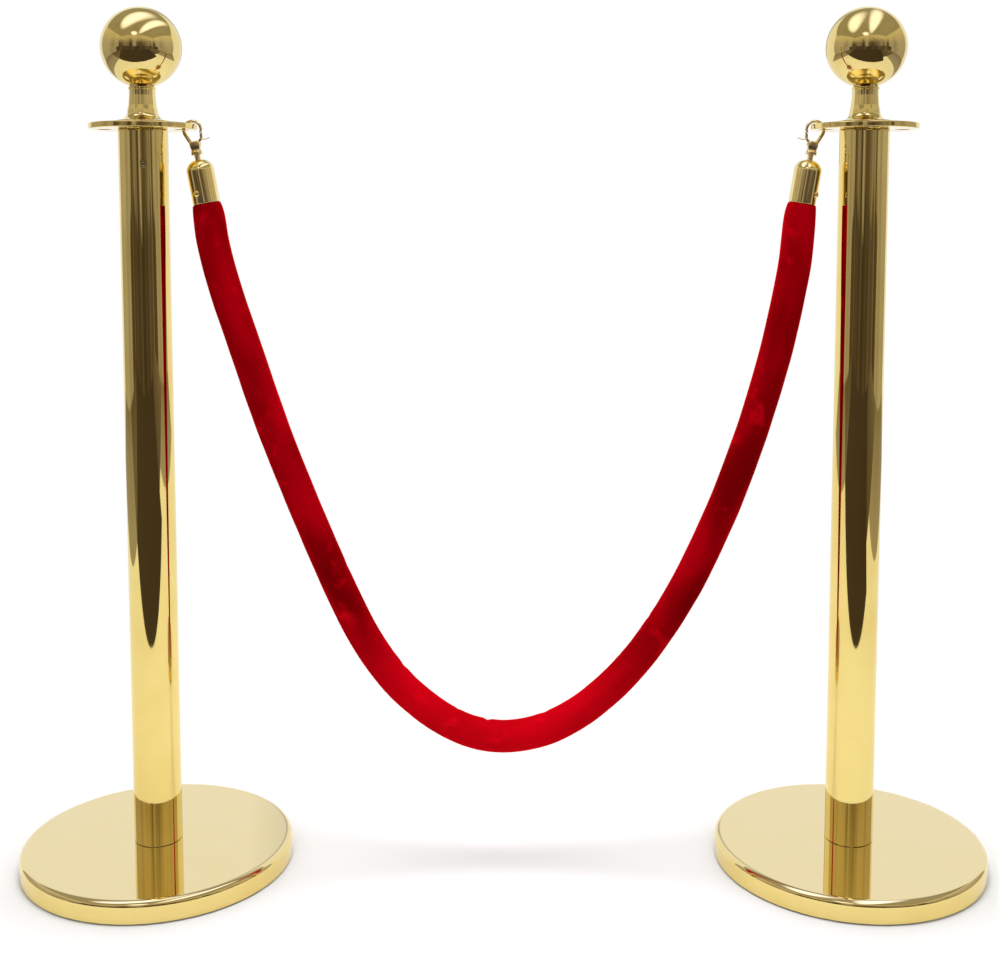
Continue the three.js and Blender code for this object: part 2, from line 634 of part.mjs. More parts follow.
const barrier = new THREE.Group();
for (const [side, how] of Object.entries(SIDES)) {
  const half = new THREE.Group();
  half.add(stanchion(side, how), ropeFitting(side, how));
  half.rotation.z = THREE.MathUtils.degToRad(how.turn);
  half.position.x = how.turn === 0 ? -POST_SPACING / 2 : POST_SPACING / 2;
  barrier.add(half);
}
barrier.add(piece("rope", rope(), MATERIALS.velvet));

export default barrier;
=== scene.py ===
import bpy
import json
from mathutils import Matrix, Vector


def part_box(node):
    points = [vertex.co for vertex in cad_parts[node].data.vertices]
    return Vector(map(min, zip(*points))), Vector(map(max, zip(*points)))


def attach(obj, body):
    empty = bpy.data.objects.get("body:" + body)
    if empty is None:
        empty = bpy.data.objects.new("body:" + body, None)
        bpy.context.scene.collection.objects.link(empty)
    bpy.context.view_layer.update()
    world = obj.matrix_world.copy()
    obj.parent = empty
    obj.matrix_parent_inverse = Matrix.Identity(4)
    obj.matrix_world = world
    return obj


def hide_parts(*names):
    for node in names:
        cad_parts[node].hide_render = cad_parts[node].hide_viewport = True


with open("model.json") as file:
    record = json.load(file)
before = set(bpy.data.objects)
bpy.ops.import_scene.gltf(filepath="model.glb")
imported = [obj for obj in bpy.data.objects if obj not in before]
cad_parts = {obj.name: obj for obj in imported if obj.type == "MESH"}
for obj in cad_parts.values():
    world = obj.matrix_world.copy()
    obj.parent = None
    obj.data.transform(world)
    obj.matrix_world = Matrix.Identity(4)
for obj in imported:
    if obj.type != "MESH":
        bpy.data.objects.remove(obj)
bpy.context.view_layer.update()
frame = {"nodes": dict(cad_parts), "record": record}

# A rope barrier: two ball-topped stanchions in polished gold plate, joined by a red velvet rope that hangs on
# swivel snap hooks. Metres, +Z up, the floor at z = 0, the origin midway between the posts. The frame holds
# the sizes and places; this script gives each piece its fine surface and its finish, and lights the set.
import json
import logging
import math
from dataclasses import dataclass, field
from enum import Enum
from typing import Iterable, Mapping, Sequence

import bmesh
import bpy
import numpy as np

Array = np.ndarray
Colour = tuple[float, float, float]
Piece = bpy.types.Object
Bands = tuple[tuple[float, float], ...]

MM = 0.001
LOG = logging.getLogger("rope_barrier")

# The rope's route between its two straight ends, given as x, and how far below the hooks' eyes.
ROPE_ROUTE = (
    (-0.305, 0.117), (-0.2945, 0.16), (-0.281, 0.203), (-0.267, 0.246), (-0.253, 0.289), (-0.238, 0.332),
    (-0.2215, 0.375), (-0.2045, 0.4175), (-0.187, 0.46), (-0.168, 0.503), (-0.146, 0.546), (-0.118, 0.586),
    (-0.086, 0.6165), (-0.052, 0.6385), (-0.019, 0.6495), (0.013, 0.65), (0.0455, 0.6425), (0.078, 0.626),
    (0.11, 0.601), (0.142, 0.567), (0.171, 0.5265), (0.196, 0.4835), (0.217, 0.4395), (0.2355, 0.3965),
    (0.2515, 0.353), (0.266, 0.31), (0.2785, 0.267), (0.2895, 0.224), (0.2985, 0.181), (0.306, 0.138),
)


# ---------------------------------------------------------------- curves and outlines
def unit(vectors: Array) -> Array:
    """The vectors, each divided by its own length."""
    return vectors / np.linalg.norm(vectors, axis=-1, keepdims=True)


def arc(centre: Sequence[float], radii: Sequence[float], start: float, end: float, steps: int) -> Array:
    """Points of an elliptical arc: the centre plus (wide cos a, tall sin a), with a spaced evenly.

    Args:
        centre: The ellipse's middle, (radius, height).
        radii: How wide and how tall the ellipse is from its middle.
        start: The first angle, in degrees from the outward way.
        end: The last angle, in degrees.
        steps: How many chords the arc has.

    Returns:
        The points, (steps + 1, 2).
    """
    a = np.radians(np.linspace(start, end, steps + 1))
    return np.stack([centre[0] + radii[0] * np.cos(a), centre[1] + radii[1] * np.sin(a)], axis=1)


def softened(corners: Sequence[Sequence[float]], radii: float | Sequence[float], steps: int = 4) -> Array:
    """An outline whose inner corners are rounded.

    At a corner whose two sides leave it along a and b, the arc touches both sides at radius / tan(half the
    angle between them) from the corner, and its centre is radius / sin(half) along the bisector. The arc is
    the even turn from one spoke to the other. A radius is limited to what the shorter side has room for.

    Args:
        corners: The outline's corners, (n, 2). The first and the last stay as they are.
        radii: One radius, or one for each inner corner.
        steps: How many chords each arc has.

    Returns:
        The outline's points.
    """
    p = np.asarray(corners, dtype=float)
    back, on = p[:-2] - p[1:-1], p[2:] - p[1:-1]
    room = 0.49 * np.minimum(np.linalg.norm(back, axis=1), np.linalg.norm(on, axis=1))
    back, on = unit(back), unit(on)
    half = 0.5 * np.arccos(np.clip((back * on).sum(axis=1), -1.0, 1.0))
    reach = np.minimum(np.broadcast_to(radii, half.shape) / np.tan(half), room)[:, None]
    centre = p[1:-1] + unit(back + on) * (reach[:, 0] * np.tan(half) / np.sin(half))[:, None]
    first, last = p[1:-1] + back * reach - centre, p[1:-1] + on * reach - centre
    turn = (np.pi - 2 * half)[:, None, None]
    t = np.linspace(0.0, 1.0, steps + 1)[None, :, None]
    spokes = (np.sin((1 - t) * turn) * first[:, None] + np.sin(t * turn) * last[:, None]) / np.sin(turn)
    return np.concatenate([p[:1], (centre[:, None] + spokes).reshape(-1, 2), p[-1:]])


def smooth_curve(points: Array, steps: int) -> Array:
    """A centripetal Catmull-Rom curve through points.

    Between two points the curve is the usual blend of blends over four neighbours, with knots spaced by the
    square root of the chord. Past each end stands a mirrored point.

    Args:
        points: The points that the curve passes through, (n, 3).
        steps: How many samples each stretch between two points has.

    Returns:
        The curve, ((n - 1) * steps + 1, 3).
    """
    p = np.concatenate([2 * points[:1] - points[1:2], points, 2 * points[-1:] - points[-2:-1]])
    knots = np.concatenate([[0.0], np.cumsum(np.sqrt(np.linalg.norm(np.diff(p, axis=0), axis=1)))])
    k = [knots[i : len(knots) - 3 + i, None, None] for i in range(4)]
    q = [p[i : len(p) - 3 + i, None] for i in range(4)]
    t = k[1] + (k[2] - k[1]) * (np.arange(steps) / steps)[None, :, None]

    def between(low: Array, high: Array, start: Array, end: Array) -> Array:
        """The even blend from low, at knot start, to high, at knot end."""
        return ((end - t) * low + (t - start) * high) / (end - start)

    a = [between(q[i], q[i + 1], k[i], k[i + 1]) for i in range(3)]
    b = [between(a[i], a[i + 1], k[i], k[i + 2]) for i in range(2)]
    return np.concatenate([between(b[0], b[1], k[1], k[2]).reshape(-1, 3), points[-1:]])


def at_lengths(curve: Array, lengths: Array) -> Array:
    """The curve's points at the given distances along it."""
    run = np.concatenate([[0.0], np.cumsum(np.linalg.norm(np.diff(curve, axis=0), axis=1))])
    return np.stack([np.interp(lengths, run, curve[:, i]) for i in range(3)], axis=1)


def length_of(curve: Array) -> float:
    """The curve's length."""
    return float(np.linalg.norm(np.diff(curve, axis=0), axis=1).sum())


def rounded_section(wide: float, deep: float, power: float = 4.0, count: int = 24) -> Array:
    """A superellipse: half the size times cos or sin, each raised to 2 / power with its sign kept.

    Args:
        wide: The section's full width.
        deep: The section's full depth.
        power: 2 gives an ellipse, and more gives squarer sides.
        count: How many points go round.

    Returns:
        The points, (count, 2), anticlockwise.
    """
    a = np.arange(count) * 2 * np.pi / count
    c, s = np.cos(a), np.sin(a)
    blunt = 2.0 / power
    across, up = np.sign(c) * np.abs(c) ** blunt, np.sign(s) * np.abs(s) ** blunt
    return 0.5 * np.stack([wide * across, deep * up], axis=1)


# ---------------------------------------------------------------- grids of points
def spun(profile: Array, count: int = 96) -> Array:
    """A profile carried round Z: (r cos a, r sin a, z) for every point and every a.

    Args:
        profile: Points (radius, height), which rise outside.
        count: How many points go round.

    Returns:
        The grid, (rows, count, 3).
    """
    a = np.arange(count) * 2 * np.pi / count
    r, z = profile[:, :1], profile[:, 1:]
    return np.stack([r * np.cos(a), r * np.sin(a), z + 0 * a], axis=2)


def carried(section: Array, path: Array, across: Sequence[float], scale: Array | float = 1.0) -> Array:
    """A section carried along a path.

    The section's first axis lies along across x tangent and its second along tangent x first, so a path in
    one plane, with across square to it, carries the section without a twist.

    Args:
        section: Points (first, second), anticlockwise.
        path: The path's points, (rows, 3).
        across: The way that is square to the path's plane.
        scale: How large the section is at each row: one number, (rows,) or (rows, count, 1).

    Returns:
        The grid, (rows, count, 3).
    """
    tangent = unit(np.gradient(path, axis=0))
    first = unit(np.cross(np.asarray(across, dtype=float), tangent))
    second = np.cross(tangent, first)
    size = np.asarray(scale, dtype=float)
    size = size.reshape(size.shape + (1,) * (3 - size.ndim)) if size.ndim else size
    spread = section[None, :, :1] * first[:, None] + section[None, :, 1:] * second[:, None]
    return path[:, None] + size * spread


def stopped(grid: Array) -> Array:
    """The grid with both ends closed: a row at the middle of the first row and of the last.

    Args:
        grid: The points, (rows, count, 3).

    Returns:
        The grid with two more rows.
    """
    first = np.broadcast_to(grid[:1].mean(axis=1, keepdims=True), grid[:1].shape)
    last = np.broadcast_to(grid[-1:].mean(axis=1, keepdims=True), grid[-1:].shape)
    return np.concatenate([first, grid, last])


def laid_along(grid: Array, along: Sequence[float], up: Sequence[float], at: Sequence[float]) -> Array:
    """A grid made about Z, laid along another way.

    Args:
        grid: The points, (rows, count, 3).
        along: The way that +Z turns to.
        up: The way that +X turns to, as nearly as along allows.
        at: Where the grid's origin goes.

    Returns:
        The turned and moved points.
    """
    z = unit(np.asarray(along, dtype=float))
    x = unit(np.asarray(up, dtype=float) - z * np.dot(up, z))
    return np.asarray(at) + grid @ np.stack([x, np.cross(z, x), z])


@dataclass(frozen=True)
class Placing:
    """Where a sub-assembly's own axes lie in the frame."""

    origin: Array
    axes: Array  # rows: where +X, +Y and +Z point

    def __call__(self, points: Array) -> Array:
        """Points in the sub-assembly's own axes, put in the frame."""
        return self.origin + points @ self.axes

    def inside(self, point: Sequence[float]) -> Array:
        """A point of the frame, in the sub-assembly's own axes."""
        return self.axes @ (np.asarray(point, dtype=float) - self.origin)


# ---------------------------------------------------------------- meshes
class Shell:
    """Closed surfaces gathered from grids into one mesh."""

    merge_within = 1e-6
    auto_weight = 50

    def __init__(self) -> None:
        """Starts with no surface."""
        self.points: list[Array] = []
        self.faces: list[Array] = []
        self.uvs: list[Array] = []
        self.count = 0

    def add(self, grid: Array, ring: bool = False, uv_size: Sequence[float] = (1.0, 1.0)) -> "Shell":
        """Adds a grid whose columns close on themselves.

        Each face is (row, column), (row, column + 1), (row + 1, column + 1), (row + 1, column), and its UV
        runs evenly from 0 to uv_size along the rows and round the columns.

        Args:
            grid: The points, (rows, columns, 3).
            ring: True where the last row meets the first.
            uv_size: The UV map's reach along the rows and round the columns.

        Returns:
            The shell itself.
        """
        rows, columns = grid.shape[:2]
        index = self.count + np.arange(rows * columns).reshape(rows, columns)
        if ring:
            index = np.concatenate([index, index[:1]])
        nxt = np.roll(index, -1, axis=1)
        quads = np.stack([index[:-1], nxt[:-1], nxt[1:], index[1:]], axis=2).reshape(-1, 4)
        spans = index.shape[0] - 1
        i, j = np.meshgrid(np.arange(spans), np.arange(columns), indexing="ij")
        u = np.stack([i, i, i + 1, i + 1], axis=2) * (uv_size[0] / spans)
        v = np.stack([j, j + 1, j + 1, j], axis=2) * (uv_size[1] / columns)
        self.points.append(grid.reshape(-1, 3))
        self.faces.append(quads)
        self.uvs.append(np.stack([u, v], axis=3).reshape(-1, 2))
        self.count += rows * columns
        return self

    def piece(self, name: str, placing: Placing | None = None) -> Piece:
        """Makes the mesh: doubles merged, poles closed, faces outward, shaded smooth.

        Args:
            name: The object's name.
            placing: Where the points go, if they aren't in the frame yet.

        Returns:
            The new object, at the origin with its place in its mesh.
        """
        points = np.concatenate(self.points)
        if placing is not None:
            points = placing(points)
        mesh = bpy.data.meshes.new(name)
        mesh.from_pydata(points.tolist(), [], np.concatenate(self.faces).tolist())
        mesh.uv_layers.new(name="UVMap")
        mesh.uv_layers[0].data.foreach_set("uv", np.concatenate(self.uvs).astype(np.float32).ravel())
        made = bmesh.new()
        made.from_mesh(mesh)
        bmesh.ops.remove_doubles(made, verts=made.verts, dist=self.merge_within)
        bmesh.ops.dissolve_degenerate(made, edges=made.edges, dist=self.merge_within / 2)
        bmesh.ops.recalc_face_normals(made, faces=made.faces)
        made.to_mesh(mesh)
        made.free()
        mesh.shade_smooth()
        piece = bpy.data.objects.new(name, mesh)
        bpy.context.scene.collection.objects.link(piece)
        return piece


def settled(piece: Piece) -> Piece:
    """Applies the piece's modifiers and returns it.

    Args:
        piece: The piece, with its modifiers.

    Returns:
        The piece, its mesh replaced by the finished one.
    """
    bpy.context.view_layer.update()
    evaluated = piece.evaluated_get(bpy.context.evaluated_depsgraph_get())
    mesh = bpy.data.meshes.new_from_object(evaluated)
    piece.modifiers.clear()
    old, name = piece.data, piece.data.name
    piece.data = mesh
    bpy.data.meshes.remove(old)
    mesh.name = name
    return piece


def cut(piece: Piece, tools: Iterable[Piece]) -> Piece:
    """Cuts the tools out of the piece and deletes them.

    Args:
        piece: The piece to cut.
        tools: Closed meshes that take their own space out of it.

    Returns:
        The piece.
    """
    tools = list(tools)
    for tool in tools:
        modifier = piece.modifiers.new("cut", "BOOLEAN")
        modifier.operation = "DIFFERENCE"
        modifier.solver = "EXACT"
        modifier.object = tool
    settled(piece)
    for tool in tools:
        bpy.data.objects.remove(tool)
    piece.data.shade_smooth()
    return piece


def cast(piece: Piece, grain: float, rounds: int) -> Piece:
    """Runs a piece's joined shapes into one skin with filleted corners, as a casting has.

    Args:
        piece: Overlapping closed shapes in one mesh.
        grain: The size of the new faces.
        rounds: How often each point moves halfway to the middle of its neighbours.

    Returns:
        The piece.
    """
    skin = piece.modifiers.new("skin", "REMESH")
    skin.mode = "VOXEL"
    skin.voxel_size = grain
    skin.use_smooth_shade = True
    soften = piece.modifiers.new("soften", "SMOOTH")
    soften.factor = 0.5
    soften.iterations = rounds
    return settled(piece)


def even_shade(piece: Piece) -> Piece:
    """Lets large flat faces keep their own direction where they meet a rounded edge.

    Args:
        piece: The piece.

    Returns:
        The piece.
    """
    modifier = piece.modifiers.new("shade", "WEIGHTED_NORMAL")
    modifier.mode = "FACE_AREA"
    modifier.weight = Shell.auto_weight
    return settled(piece)


# ---------------------------------------------------------------- shader maths
class Signal:
    """A value that varies over a surface: one output of a material's nodes, with sums written as usual."""

    def __init__(self, nodes: "Nodes", socket: bpy.types.NodeSocket | None) -> None:
        """Wraps a socket of the given material's nodes."""
        self.nodes = nodes
        self.socket = socket

    def _sum(self, operation: str, *terms: "Signal | float") -> "Signal":
        """One Math node on the terms."""
        return self.nodes.node("ShaderNodeMath", {"operation": operation}, dict(enumerate(terms)))

    def __add__(self, other: "Signal | float") -> "Signal":
        """self + other."""
        return self._sum("ADD", self, other)

    __radd__ = __add__

    def __sub__(self, other: "Signal | float") -> "Signal":
        """self - other."""
        return self._sum("SUBTRACT", self, other)

    def __rsub__(self, other: float) -> "Signal":
        """other - self."""
        return self._sum("SUBTRACT", other, self)

    def __mul__(self, other: "Signal | float") -> "Signal":
        """self * other."""
        return self._sum("MULTIPLY", self, other)

    __rmul__ = __mul__


class Nodes:
    """The nodes of one material."""

    def __init__(self, name: str) -> None:
        """Starts a material with an empty tree.

        Args:
            name: The material's name.
        """
        self.material = bpy.data.materials.new(name)
        self.material.use_nodes = True
        self.tree = self.material.node_tree
        self.tree.nodes.clear()

    def node(
        self,
        kind: str,
        settings: Mapping[str, object] | None = None,
        inputs: Mapping[int | str, object] | None = None,
        output: int | str = 0,
    ) -> Signal:
        """Adds a node.

        Args:
            kind: The node's type.
            settings: Its own settings, set first. "stops" holds a ramp's (position, colour) pairs.
            inputs: What each input takes, by name or number: a value, or a Signal to link.
            output: Which output is wanted.

        Returns:
            The wanted output.
        """
        made = self.tree.nodes.new(kind)
        for key, value in (settings or {}).items():
            if key == "stops":
                self._set_stops(made.color_ramp, value)
            else:
                setattr(made, key, value)
        for key, value in (inputs or {}).items():
            if isinstance(value, Signal):
                self.tree.links.new(value.socket, made.inputs[key])
            elif isinstance(value, tuple) and made.inputs[key].type == "RGBA":
                made.inputs[key].default_value = (*value, 1.0)
            else:
                made.inputs[key].default_value = value
        return Signal(self, made.outputs[output] if made.outputs else None)

    @staticmethod
    def _set_stops(ramp: bpy.types.ColorRamp, stops: Sequence[tuple[float, Colour]]) -> None:
        """Gives a ramp its stops.

        Args:
            ramp: The ramp.
            stops: Its (position, colour) pairs, from low to high.
        """
        while len(ramp.elements) < len(stops):
            ramp.elements.new(1.0)
        for element, (position, colour) in zip(ramp.elements, stops):
            element.position = position
            element.color = (*colour, 1.0)

    def place(self, stretch: Sequence[float] = (1.0, 1.0, 1.0), source: str = "Object") -> Signal:
        """The surface's own coordinates, each axis multiplied by its stretch."""
        where = self.node("ShaderNodeTexCoord", output=source)
        return self.node("ShaderNodeVectorMath", {"operation": "MULTIPLY"}, {0: where, 1: tuple(stretch)})

    def noise(self, where: Signal, scale: float, detail: float = 2.0, twist: float = 0.0) -> Signal:
        """Cloudy noise from 0 to 1."""
        values = {"Vector": where, "Scale": scale, "Detail": detail, "Distortion": twist}
        return self.node("ShaderNodeTexNoise", None, values, "Fac")

    def ramp(self, value: Signal, low: float, high: float) -> Signal:
        """0 below low, 1 above high, and a smooth rise between."""
        settings = {"interpolation_type": "SMOOTHSTEP"}
        return self.node("ShaderNodeMapRange", settings, {"Value": value, "From Min": low, "From Max": high})

    def blend(self, share: Signal | float, first: Signal | Colour, second: Signal | Colour) -> Signal:
        """A colour that goes from the first to the second as share goes from 0 to 1."""
        return self.node("ShaderNodeMix", {"data_type": "RGBA"}, {0: share, 6: first, 7: second}, 2)

    def bump(self, height: Signal, strength: float, distance: float) -> Signal:
        """A normal bent by a height."""
        values = {"Height": height, "Strength": strength, "Distance": distance}
        return self.node("ShaderNodeBump", None, values, "Normal")

    def surface(self, **inputs: object) -> bpy.types.Material:
        """Closes the material with one Principled shader.

        Args:
            **inputs: The shader's inputs, their names written with _ for a space.

        Returns:
            The finished material.
        """
        named = {key.replace("_", " "): value for key, value in inputs.items()}
        self.finish(self.node("ShaderNodeBsdfPrincipled", None, named, "BSDF"))
        return self.material

    def finish(self, shader: Signal) -> bpy.types.Material:
        """Sends a shader to the material's output."""
        self.node("ShaderNodeOutputMaterial", None, {"Surface": shader})
        return self.material


# ---------------------------------------------------------------- finishes
@dataclass(frozen=True)
class GoldPlate:
    """Polished gold plate: a mirror with faint polishing lines, handling smudges and a slightly wavy skin."""

    name: str
    tint: Colour = (0.83, 0.66, 0.25)
    deep: Colour = (0.77, 0.58, 0.19)
    roughness: float = 0.035
    smudge: float = 0.05
    lines: tuple[float, float, float] = (500.0, 500.0, 500.0)
    line_depth: float = 0.05
    wave_scale: float = 40.0
    wave_height: float = 0.012 * MM
    cloud_scale: float = 14.0
    touch_scale: float = 38.0
    painted_top_reflection: Colour | None = None
    painted_reflection_height: float = 0.0
    painted_reflection_rise: float = 7 * MM

    def material(self) -> bpy.types.Material:
        """Makes the material. A paler top colour, if there is one, is a painted reflection and takes over up
        to its height.

        Returns:
            The material.
        """
        nodes = Nodes(self.name)
        place = nodes.place()
        lines = nodes.noise(nodes.place(self.lines), 1.0, 3.0)
        clouds = nodes.noise(place, self.cloud_scale, 4.0, 0.4)
        touched = nodes.ramp(nodes.noise(place, self.touch_scale, 5.0, 0.8), 0.58, 0.8)
        waves = nodes.noise(place, self.wave_scale, 1.0)
        depth = nodes.ramp(clouds * 0.85 + lines * 0.15, 0.35, 0.7)
        colour = nodes.blend(depth, self.tint, self.deep)
        # Painted reflection: the upper part turns to a paler colour, as the top shows the room paler than the
        # sides.
        if self.painted_top_reflection:
            height = nodes.node("ShaderNodeSeparateXYZ", None, {0: place}, 2)
            share = nodes.ramp(height, self.painted_reflection_height - self.painted_reflection_rise, self.painted_reflection_height)
            colour = nodes.blend(share * (1.0 - depth * 0.15), colour, self.painted_top_reflection)
        return nodes.surface(
            Base_Color=colour,
            Metallic=1.0,
            Roughness=self.roughness + touched * self.smudge + lines * 0.02,
            Normal=nodes.bump(waves + lines * self.line_depth, 0.6, self.wave_height),
        )


@dataclass(frozen=True)
class PlainMetal:
    """Bare or zinc-plated steel: turning lines, a clouded skin and a dull shine."""

    name: str
    light: Colour
    dark: Colour
    roughness: float = 0.3
    cloud_scale: float = 120.0
    turning: float = 900.0

    def material(self) -> bpy.types.Material:
        """Makes the material.

        Returns:
            The material.
        """
        nodes = Nodes(self.name)
        clouds = nodes.noise(nodes.place(), self.cloud_scale, 4.0, 0.5)
        rings = nodes.noise(nodes.place((4.0, 4.0, self.turning)), 1.0, 2.0)
        return nodes.surface(
            Base_Color=nodes.blend(nodes.ramp(clouds, 0.3, 0.7), self.light, self.dark),
            Metallic=1.0,
            Roughness=self.roughness + clouds * 0.15 + rings * 0.08,
            Normal=nodes.bump(rings, 0.35, 0.05 * MM),
        )


@dataclass(frozen=True)
class CastIron:
    """A rough sand casting under thin black paint, with bare high spots."""

    name: str = "black cast iron"
    paint: Colour = (0.028, 0.028, 0.03)
    bare: Colour = (0.17, 0.165, 0.16)
    grain_scale: float = 650.0
    wear_scale: float = 60.0

    def material(self) -> bpy.types.Material:
        """Makes the material.

        Returns:
            The material.
        """
        nodes = Nodes(self.name)
        grain = nodes.noise(nodes.place(), self.grain_scale, 4.0)
        worn = nodes.ramp(grain * 0.5 + nodes.noise(nodes.place(), self.wear_scale, 5.0) * 0.5, 0.56, 0.68)
        return nodes.surface(
            Base_Color=nodes.blend(worn, self.paint, self.bare),
            Metallic=worn * 0.7,
            Roughness=0.82 - worn * 0.25,
            Normal=nodes.bump(grain, 0.8, 0.4 * MM),
        )


@dataclass(frozen=True)
class MouldedRubber:
    """Matt black rubber with a fine moulded grain and dust in it."""

    name: str = "moulded rubber"
    black: Colour = (0.018, 0.018, 0.02)
    dusty: Colour = (0.075, 0.072, 0.068)
    grain_scale: float = 1400.0
    dust_scale: float = 45.0

    def material(self) -> bpy.types.Material:
        """Makes the material.

        Returns:
            The material.
        """
        nodes = Nodes(self.name)
        grain = nodes.noise(nodes.place(), self.grain_scale, 2.0)
        dust = nodes.ramp(nodes.noise(nodes.place(), self.dust_scale, 5.0), 0.45, 0.8)
        return nodes.surface(
            Base_Color=nodes.blend(dust, self.black, self.dusty),
            Roughness=0.78 + dust * 0.15,
            Normal=nodes.bump(grain, 0.5, 0.12 * MM),
        )


@dataclass(frozen=True)
class BoundCotton:
    """Cotton tape wound round the rope's end: close turns with frayed, off-white threads, and painted shade
    between the turns.
    """

    name: str = "bound cotton"
    thread: Colour = (0.66, 0.59, 0.44)
    # hollow: the darker colour between the turns, painted shade.
    hollow: Colour = (0.3, 0.25, 0.17)
    turn_scale: float = 520.0
    fray_scale: float = 1500.0

    def material(self) -> bpy.types.Material:
        """Makes the material.

        Returns:
            The material.
        """
        nodes = Nodes(self.name)
        place = nodes.place((0.12, 0.12, 1.0))
        values = {"Vector": place, "Scale": self.turn_scale, "Distortion": 1.5, "Detail": 2.0}
        turns = nodes.node("ShaderNodeTexWave", {"bands_direction": "Z"}, values, "Fac")
        fray = nodes.noise(nodes.place(), self.fray_scale, 3.0)
        return nodes.surface(
            # Painted shade: the colour darkens to hollow between the turns.
            Base_Color=nodes.blend(turns * 0.75 + fray * 0.25, self.hollow, self.thread),
            Roughness=0.95,
            Sheen_Weight=0.4,
            Normal=nodes.bump(turns + fray * 0.3, 0.9, 0.3 * MM),
        )


@dataclass(frozen=True)
class RedVelvet:
    """Velvet pile: dense red, darker where it stands, lighter where it lies flat, and lighter low in the sag,
    which is painted light.
    """

    name: str = "red velvet"
    deep: Colour = (0.135, 0.0, 0.001)
    middle: Colour = (0.34, 0.0, 0.004)
    # The lighter red of crushed pile, also used for the painted light low on the rope.
    crushed_and_lit_red: Colour = (0.85, 0.002, 0.01)
    glow: Colour = (1.0, 0.02, 0.008)
    pile_scale: float = 1700.0
    clump_scale: float = 260.0
    lean_scale: float = 7.5
    mark_scale: float = 34.0
    brush: tuple[float, float, float] = (10.0, 30.0, 1.0)
    # The heights over which the painted light low on the rope fades in.
    low_light_from: float = 0.3
    low_light_to: float = 0.14

    def material(self) -> bpy.types.Material:
        """Makes the material.

        Returns:
            The material.
        """
        nodes = Nodes(self.name)
        place = nodes.place()
        pile = nodes.noise(place, self.pile_scale, 2.0)
        clumps = nodes.noise(place, self.clump_scale, 3.0, 0.6)
        brushed = nodes.noise(nodes.place(self.brush, "UV"), 1.0, 2.0)
        leaning = nodes.noise(place, self.lean_scale, 1.5, 0.2)
        marks = nodes.ramp(nodes.noise(place, self.mark_scale, 3.0), 0.58, 0.8)
        body = nodes.blend(nodes.ramp(leaning * 0.6 + brushed * 0.4, 0.36, 0.64), self.deep, self.middle)
        # Painted light: the rope turns lighter below the given heights, as if lit from above and by the
        # floor.
        height = nodes.node("ShaderNodeSeparateXYZ", None, {0: place}, 2)
        painted_low_light = 1.0 - nodes.ramp(height, self.low_light_to, self.low_light_from)
        # The lighter red takes the crushed marks, which are real, and the painted light low on the rope.
        marks_and_painted_light = nodes.blend(marks * 0.45 + painted_low_light * 0.35, body, self.crushed_and_lit_red)
        shade = nodes.ramp(pile * 0.5 + clumps * 0.5, 0.35, 0.75) * 0.25
        return nodes.surface(
            Base_Color=nodes.blend(shade, marks_and_painted_light, self.deep),
            Roughness=0.95,
            Specular_IOR_Level=0.0,
            Sheen_Weight=1.0,
            Sheen_Roughness=0.3,
            Sheen_Tint=self.glow,
            Normal=nodes.bump(pile * 0.3 + clumps * 0.4 + marks * 0.3, 0.6, 0.3 * MM),
        )


class Dress(Enum):
    """The finishes of the set, each under the record's slot that it belongs to."""

    BASE = (
        "gold_base",
        GoldPlate(
            "gold base",
            (0.85, 0.67, 0.25),
            (0.82, 0.63, 0.22),
            0.03,
            lines=(60.0, 60.0, 60.0),
            line_depth=0.0,
            # The paler colour on the base's top is a painted reflection.
            painted_top_reflection=(0.82, 0.7, 0.41),
            painted_reflection_height=25 * MM,
        ),
    )
    POST = (
        "gold_post",
        GoldPlate("gold post", (0.84, 0.67, 0.24), (0.8, 0.61, 0.2), 0.025, lines=(900.0, 900.0, 5.0)),
    )
    PLATE = ("gold_plate", GoldPlate("gold rope plate", roughness=0.05, lines=(420.0, 420.0, 90.0)))
    FINIAL = ("gold_finial", GoldPlate("gold finial", (0.82, 0.67, 0.28), (0.76, 0.59, 0.22), 0.03))
    CAP = (
        "gold_cap",
        GoldPlate("gold cap", (0.92, 0.76, 0.36), (0.84, 0.66, 0.25), 0.045, lines=(900.0, 900.0, 14.0)),
    )
    HOOK = (
        "gold_hook",
        GoldPlate(
            "gold hook",
            (0.96, 0.82, 0.48),
            (0.88, 0.7, 0.34),
            0.17,
            0.1,
            wave_scale=200.0,
            wave_height=0.02 * MM,
        ),
    )
    VELVET = ("red_velvet", RedVelvet())
    CORD = ("cord_core", BoundCotton())
    RUBBER = ("rubber_pad", MouldedRubber())
    IRON = ("cast_weight", CastIron())
    ZINC = ("zinc_hardware", PlainMetal("bright zinc", (0.66, 0.68, 0.7), (0.5, 0.52, 0.5), 0.25))
    PLUG = ("steel_plug", PlainMetal("turned steel", (0.52, 0.53, 0.55), (0.38, 0.38, 0.4), 0.32))
    SCREW = ("steel_screw", PlainMetal("plain screw steel", (0.5, 0.44, 0.3), (0.3, 0.26, 0.18), 0.3))
    SPRING = ("spring_steel", PlainMetal("spring wire", (0.6, 0.59, 0.57), (0.42, 0.41, 0.39), 0.22))

    @property
    def slot(self) -> str:
        """The record's slot."""
        return self.value[0]

    def material(self) -> bpy.types.Material:
        """The finish's material, made the first time that it is asked for."""
        finish = self.value[1]
        return bpy.data.materials.get(finish.name) or finish.material()


